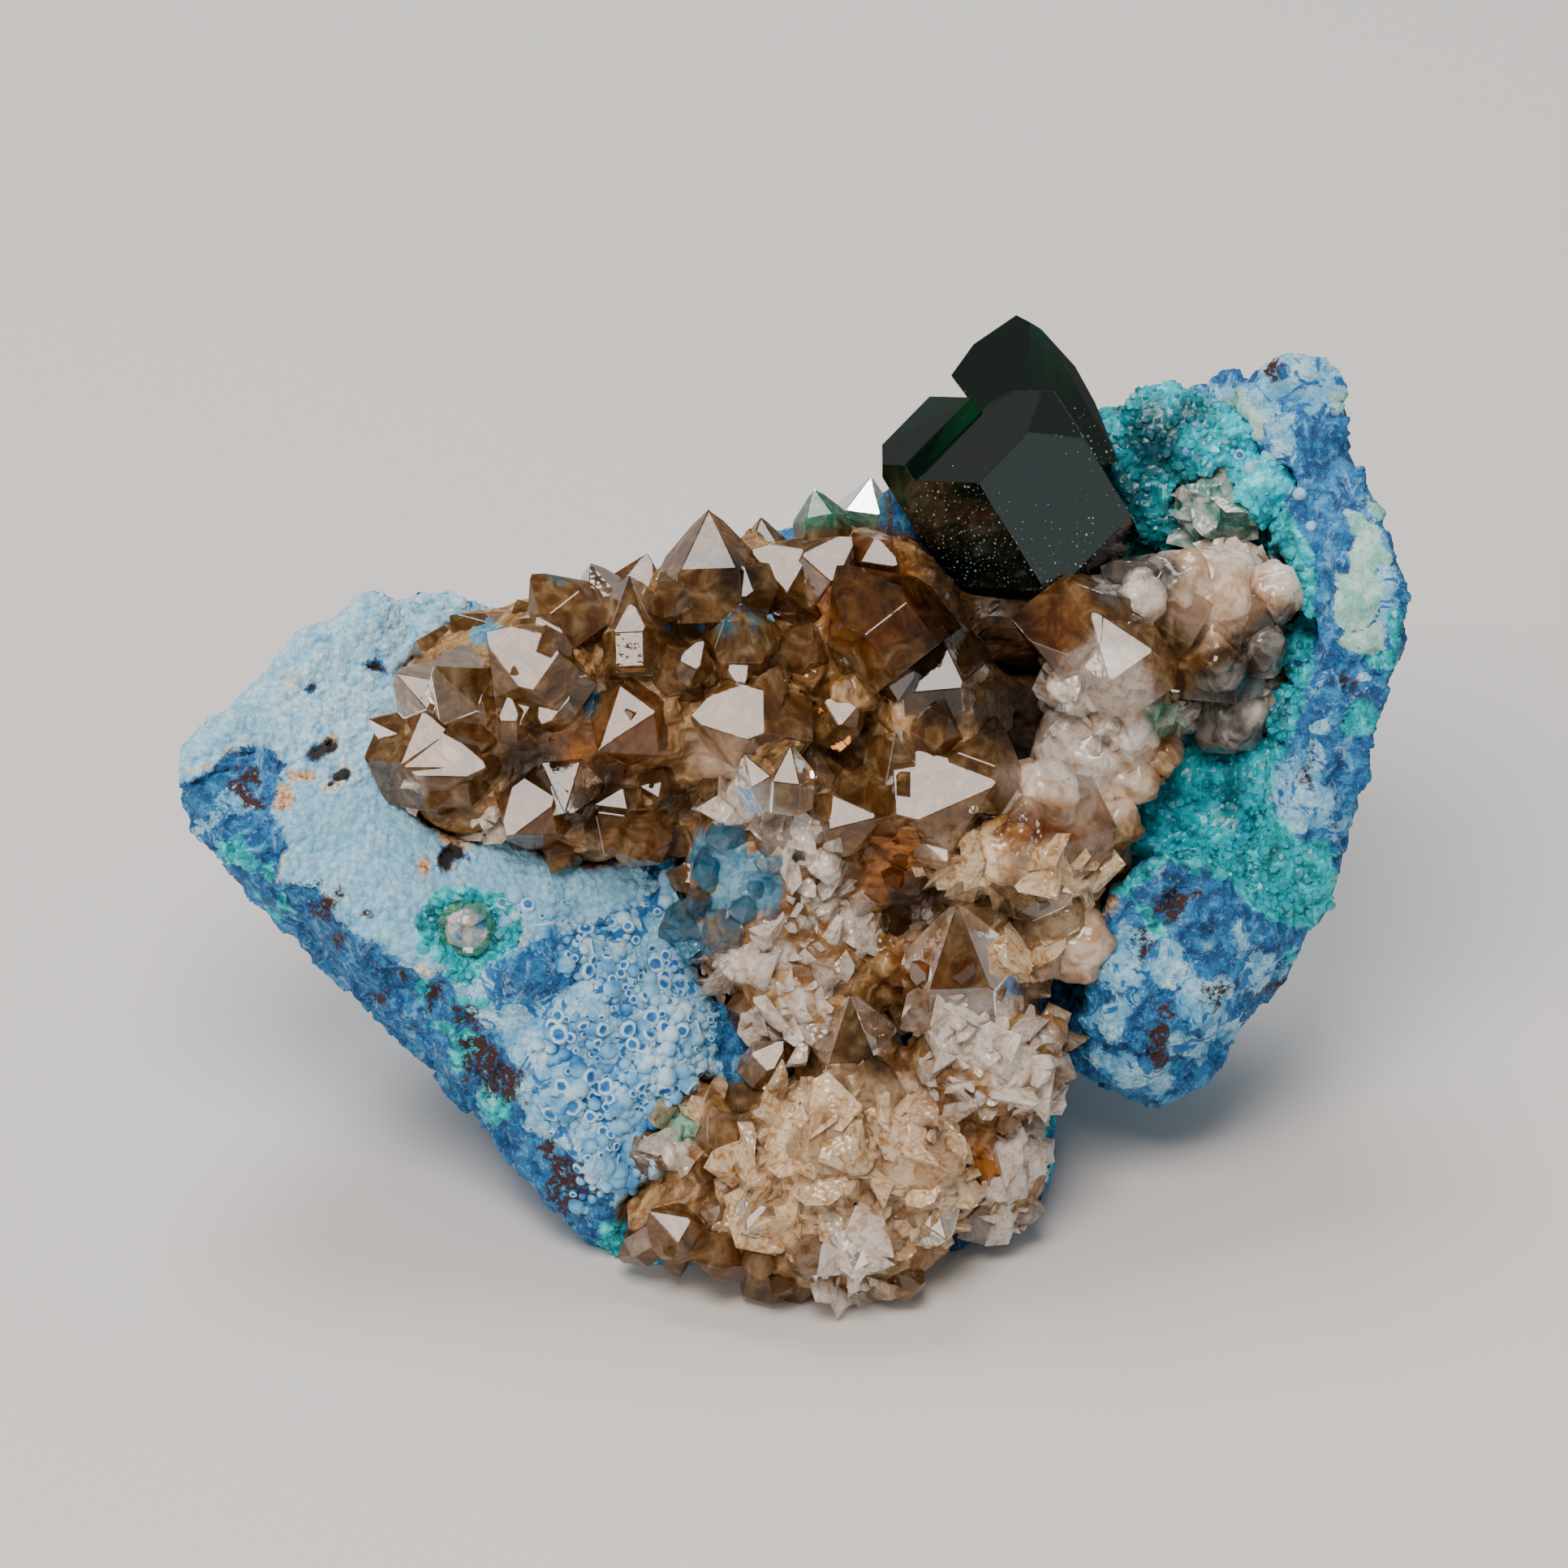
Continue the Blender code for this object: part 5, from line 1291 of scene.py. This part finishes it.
# %% The crystals: tip, three rhomb faces, six prism faces, length, other cuts
DIOPTASE_AXIS = Vector((-0.337, 0.059, 0.940)).normalized()
DIOPTASE_TURN = math.radians(-6.0)
DIOPTASE_SLOPE = math.radians(51.0)
DIOPTASE_WORN = 0.025           # millimetres worn off the edges
BLOCK_SIZE = 80.0               # millimetres, larger than any crystal
RIGHT_SIDE = ((18.25, 53.35, 0.0), (0.848, 0.529, -0.02))
DIOPTASE = [
    ((11.7, 50.6, 7.0), (0.0, 0.0, 0.0), (5.7, 3.5, 4.7, 6.5, 5.9, 6.5), 12.5, [RIGHT_SIDE]),
    ((11.7, 50.6, 7.0), (-0.1, 0.0, -0.4), (5.6, 7.4, 4.7, 5.5, 5.0, 4.0), 12.0,
     [RIGHT_SIDE, ((14.6, 53.75, 5.3), (0.441, 0.639, 0.629)), ((13.65, 56.5, -0.7), (0.05, 0.995, 0.0))]),
    ((7.2, 51.8, 1.4), (0.0, 0.0, 0.0), (6.0, 4.7, 3.0, 2.2, 7.6, 6.0), 7.5,
     [((6.6, 52.8, 1.2), (-0.86, 0.05, 0.5)), ((5.85, 52.0, 0.0), (-1.0, 0.0, 0.0))]),
]
TOP_CRYSTAL = [
    ((14.4, 60.9, -2.4), (-0.40, 0.42, 0.815)), ((14.4, 60.9, -1.9), (0.35, 0.42, 0.837)),
    ((17.6, 57.1, -1.33), (0.679, 0.524, 0.515)), ((14.2, 61.35, -2.7), (-0.1, 0.45, -0.89)),
    ((14.15, 61.35, 0.0), (-0.558, 0.830, -0.05)), ((9.95, 57.45, 0.0), (-0.816, 0.577, -0.05)),
    ((9.95, 57.45, 0.0), (-0.795, -0.606, -0.05)), ((14.15, 61.35, 0.0), (0.51, 0.86, -0.05)),
    ((17.9, 58.1, 0.0), (0.73, 0.683, -0.05)), ((17.9, 58.1, 0.0), (0.887, 0.463, -0.05)),
    ((19.94, 53.4, 0.0), (0.944, 0.33, -0.05)), ((14.0, 52.0, 0.0), (0.0, -1.0, 0.0)),
    ((14.0, 56.0, -7.0), (0.0, 0.0, -1.0)),
]


def cut_by(shape, cuts):
    """Cleave a crystal by faces that are given by a point on them and the way they look."""
    for point, normal in cuts:
        normal = Vector(normal).normalized()
        cleave(shape, normal, Vector(point).dot(normal))
    return shape


def dioptase_crystal(tip, rhombs, prisms, length, cuts):
    shape = block(BLOCK_SIZE)
    for step, distance in enumerate(rhombs):
        angle = math.radians(120 * step)
        flat = Vector((math.cos(angle), math.sin(angle), 0.0)) * math.sin(DIOPTASE_SLOPE)
        cleave(shape, flat + Vector((0.0, 0.0, math.cos(DIOPTASE_SLOPE))), distance)
    for step, distance in enumerate(prisms):
        angle = math.radians(30 + 60 * step)
        cleave(shape, Vector((math.cos(angle), math.sin(angle), 0.0)), distance)
    cleave(shape, Vector((0.0, 0.0, -1.0)), length)
    turn = axis_turn(DIOPTASE_AXIS, Vector((1.0, 0.0, 0.0))) @ Matrix.Rotation(DIOPTASE_TURN, 3, "Z")
    bmesh.ops.transform(shape, matrix=Matrix.Translation(tip) @ turn.to_4x4(), verts=shape.verts)
    return cut_by(shape, cuts)


# %% Grow them together and wear their edges


def grown_together(name, shapes):
    """One closed piece from crystals that pass through each other."""
    pieces = []
    for shape in shapes:
        bmesh.ops.dissolve_limit(
            shape, angle_limit=math.radians(3.0), verts=shape.verts, edges=shape.edges)
        bmesh.ops.bevel(shape, geom=shape.edges[:], offset=DIOPTASE_WORN, segments=1, affect="EDGES")
        bmesh.ops.recalc_face_normals(shape, faces=shape.faces)
        pieces.append(add_object(name, written(shape, name)))
    whole, *others = pieces
    for other in others:
        union = whole.modifiers.new("grown together", "BOOLEAN")
        union.operation = "UNION"
        union.solver = "MANIFOLD"
        union.object = other
    bake(whole).transform(FACE_TO_WORLD)
    for other in others:
        bpy.data.objects.remove(other)
    return whole


def dioptase_glass():
    material, tree = new_finish("dioptase, emerald copper silicate")
    growth = add(tree, "noise", add(tree, "place"), per_metre(3.0), 4.0)
    plug(tree, "Principled BSDF", {
        "Base Color": srgb("58C8A0"), "IOR": 1.66, "Transmission Weight": 0.99, "Roughness": 0.08,
        "Normal": add(tree, "bump", 0.10, 0.05 * MM, growth)})
    plug(tree, "Material Output", {"Volume": add(tree, "absorption", srgb("00BEA4"), 1100.0)})
    return material


emerald = grown_together("dioptase", [dioptase_crystal(*row) for row in DIOPTASE] + [
    cut_by(block(30.0, (14.0, 56.0, -4.0)), TOP_CRYSTAL)])
finish_piece(emerald, dioptase_glass(), "dioptase", "dioptase_crystals")

# %% [markdown]
# ## The teal crust
# In the hollow on the right, and on the slope above it, thousands of dioptase crystals
# under a millimetre cover the rock. In such a thin layer dioptase is bright: light
# comes straight back out of it. The crust is the copied solid with a lumpy surface, and
# the tree from before stands small crystals on it and on the teal parts of the rock.
# The crust is painted darker where the hollow lies in shade, and those places are stored on its mesh too.

# %% Teal finish and crust
# Spots of painted shade in the teal hollow.
SHADED_TEAL_SPOTS = [
    (22.4, 53.6, 2.2), (20.6, 50.6, 2.0), (25.4, 55.4, 1.4), (22.0, 47.6, 1.4), (29.4, 41.6, 1.4),
    (30.4, 36.4, 1.2), (20.4, 27.0, 1.4), (27.4, 30.6, 0.9), (31.6, 26.0, 1.0),
]


def teal_druse():
    material, tree = new_finish("teal druse of tiny dioptase")
    place = add(tree, "place")
    grain = add(tree, "noise", place, per_metre(1.4), 6.0, 0.7)
    patches = add(tree, "noise", place, per_metre(5.0), 3.0)
    # Painted shade: the crust turns dark teal inside the stored shade spots, with a border frayed by the
    # grain.
    edge = add(tree, "times_plus", grain, 5.0, add(tree, "stored", attribute_name="shade"))
    colour = layered(
        tree, add(tree, "ramp", grain, stops=[
            (0.28, "024E5C"), (0.42, "00A4B8"), (0.58, "00DCF0"), (0.76, "C4FBFF")]),
        ("04505A", (patches, 0.54, 0.64), 0.75),
        ("024A58", (edge, 1.6, 3.8), 0.85))
    plug(tree, "Principled BSDF", {"Base Color": colour, "Roughness": 0.35, "IOR": 1.66})
    return material


druse_finish = teal_druse()
crust = copy_solid("teal_crust", "dioptase_druse", "dioptase_druse_upper")
remeshed(crust, 0.30, 2)
push_out(crust.data, lambda place: 0.22 * noise.noise(place * 1.7))
store(crust.data, "everywhere", np.ones(len(crust.data.vertices)))
mark(crust.data, "shade", SHADED_TEAL_SPOTS)
finish_piece(crust, druse_finish, "teal_druse", "dioptase_druse", "dioptase_druse_upper")

tiny_points = crystal_set("tiny dioptase", small_quartz(4, 0.8, 0.4))
for name, over, where_stored, limits, seed in (
        ("teal_crystals", crust.data, "everywhere", (0.0, 1.3), 11),
        ("teal_crystals_on_rock", rock.data, "teal", (0.0, 0.6), 12),
        ("teal_crystals_on_skin", skin.data, "teal", (0.0, 0.6), 13)):
    scatter(name, over, tiny_points, where_stored, limits, 0.46, (0.25, 0.7), 60, seed, druse_finish,
            "teal_druse")

# %% [markdown]
# ## Beads of shattuckite
# On the flank and along the edge of the teal hollow the shattuckite has grown as round
# beads, 0.5 to 1.3 mm wide, and a few more sit on the left wing and on the quartz.
# Many are broken open: a white rim around a deep blue core.
# One bead is turned from a profile and stores how far each point lies from its middle,
# so that one material colours rim and core on every copy that the tree places.

# %% A bead, one millimetre wide, and its finish
OPEN_BEAD = [(0.46, -0.35), (0.50, 0.0), (0.48, 0.22), (0.40, 0.34), (0.28, 0.36), (0.18, 0.27)]
WHOLE_BEAD = [(0.46, -0.35), (0.50, 0.0), (0.46, 0.22), (0.36, 0.36), (0.22, 0.45), (0.08, 0.48)]
BEAD_SIDES = 11
CORE_ABOVE = 0.25               # the height above which an open bead shows its core


def bead(dice, profile):
    shape = bmesh.new()
    core = shape.verts.layers.float.new("core")
    wobble = [dice.uniform(0.88, 1.12) for _ in range(BEAD_SIDES)]
    rings = []
    for radius, height in profile:
        ring = []
        for step in range(BEAD_SIDES):
            angle = 2 * math.pi * step / BEAD_SIDES
            reach = radius * wobble[step]
            vert = shape.verts.new((reach * math.cos(angle), reach * math.sin(angle), height))
            vert[core] = 2 * radius if height > CORE_ABOVE and profile is OPEN_BEAD else 1.0
            ring.append(vert)
        rings.append(ring)
    for below, above in zip(rings, rings[1:]):
        for step in range(BEAD_SIDES):
            after = (step + 1) % BEAD_SIDES
            shape.faces.new((below[step], below[after], above[after], above[step]))
    shape.faces.new(rings[-1])
    shape.faces.new(rings[0][::-1])
    return shape


def beaded_stone():
    material, tree = new_finish("shattuckite beads, matt with blue cores")
    place = add(tree, "place")
    core = add(tree, "stored", attribute_name="core")
    grain, drift = [add(tree, "noise", place, per_metre(size), detail)
                    for size, detail in ((0.4, 4.0), (2.2, 5.0))]
    inside = add(tree, "ramp", add(tree, "times_plus", grain, 0.5, core), stops=[
        (0.55, "145AA2"), (0.75, "3A8ECC"), (0.88, "9CD2EE"), (1.0, "C8E6F4")])
    outside = add(tree, "ramp", drift, stops=[(0.34, "2E7CBC"), (0.48, "76BAE0"), (0.66, "C2E4F4")])
    colour = layered(tree, inside, (outside, add(tree, "range", core, 0.86, 0.98)))
    plug(tree, "Principled BSDF", {"Base Color": colour, "Roughness": 0.7})
    return material


bead_dice = random.Random(19)
bead_kinds = crystal_set("shattuckite bead", [
    bead(bead_dice, profile) for profile in (OPEN_BEAD, WHOLE_BEAD, OPEN_BEAD, WHOLE_BEAD, WHOLE_BEAD)])
bead_finish = beaded_stone()
mark(crust.data, "beaded", RING_BEADS)
mark(rock.data, "ringed", RING_BEADS)
mark(points.data, "ringed", QUARTZ_BEADS)
for name, over, where_stored, spacing, sizes, seed in (
        ("beads_on_flank", rock.data, "beaded", 0.50, (0.5, 1.4), 21),
        ("beads_in_hollow", crust.data, "beaded", 0.9, (0.7, 1.2), 22),
        ("beads_on_wing", rock.data, "ringed", 0.9, (0.7, 1.2), 23),
        ("beads_on_quartz", points.data, "ringed", 0.8, (0.6, 1.3), 24)):
    scatter(name, over, bead_kinds, where_stored, (0.0, 0.4), spacing, sizes, 18, seed, bead_finish,
            "shattuckite")

# %% [markdown]
# ## Dust on the dioptase
# Fine quartz grains, a tenth of a millimetre across, lie on the lower faces of the
# dioptase and sparkle white against it. The scattering tree lays them.

# %% White dust
DUST_MIDDLES = [(11.0, 46.4, 4.4), (15.4, 45.6, 3.0), (19.6, 47.0, 3.0), (19.4, 52.6, 2.0)]

dusty_shape = opened(emerald.data)
bmesh.ops.triangulate(dusty_shape, faces=dusty_shape.faces)
bmesh.ops.subdivide_edges(dusty_shape, edges=dusty_shape.edges[:], cuts=5, use_grid_fill=True)
dusty = written(dusty_shape, "faces that carry dust")
mark(dusty, "dusty", DUST_MIDDLES)
grit = crystal_set("grain of dust", shards(3, 0.5))
scatter("quartz_dust", dusty, grit, "dusty", (-1.5, 4.0), 0.30, (0.06, 0.18), 90, 31, water_quartz,
        "clear_quartz")

# %% [markdown]
# ## Two lone pieces of quartz
# A clear broken crystal sits on the right wall, and a small clear bead with a green
# rim is sunk in the left wing. Both are copies of their solids, made finer and broken
# by noise, in a nearly colourless quartz. The rim's green is stored by how far each
# point lies from the bead's middle, and the tree stands clear plates on the lump.

# %% The clear lump and the rimmed bead
RIM_FROM = 0.66                 # of the bead's radius, where its green rim begins
RIM_RISE = 7.0                  # how sharply it does

for name, node, voxel in (
        ("clear_lump", "clear_quartz_lump", 0.22), ("rimmed_bead", "rimmed_quartz_bead", 0.15)):
    lump = copy_solid(name, node)
    remeshed(lump, voxel, 1)
    push_out(lump.data, lambda place: 0.25 * noise.cell(place * 1.3))
    store(lump.data, "white", np.full(len(lump.data.vertices), 2.0))
    if name == "rimmed_bead":
        flat = face_places(lump.data)[:, :2]
        reach = np.hypot(*(flat - flat.mean(axis=0)).T)
        store(lump.data, "green", RIM_RISE * (reach - RIM_FROM * reach.max()))
    finish_piece(lump, water_quartz, "clear_quartz", node)
scatter("clear_plates", bpy.data.objects["clear_lump"].data, splinters, "white", (0.0, 1.0), 1.1,
        (1.2, 3.4), 80, 41, water_quartz, "clear_quartz")
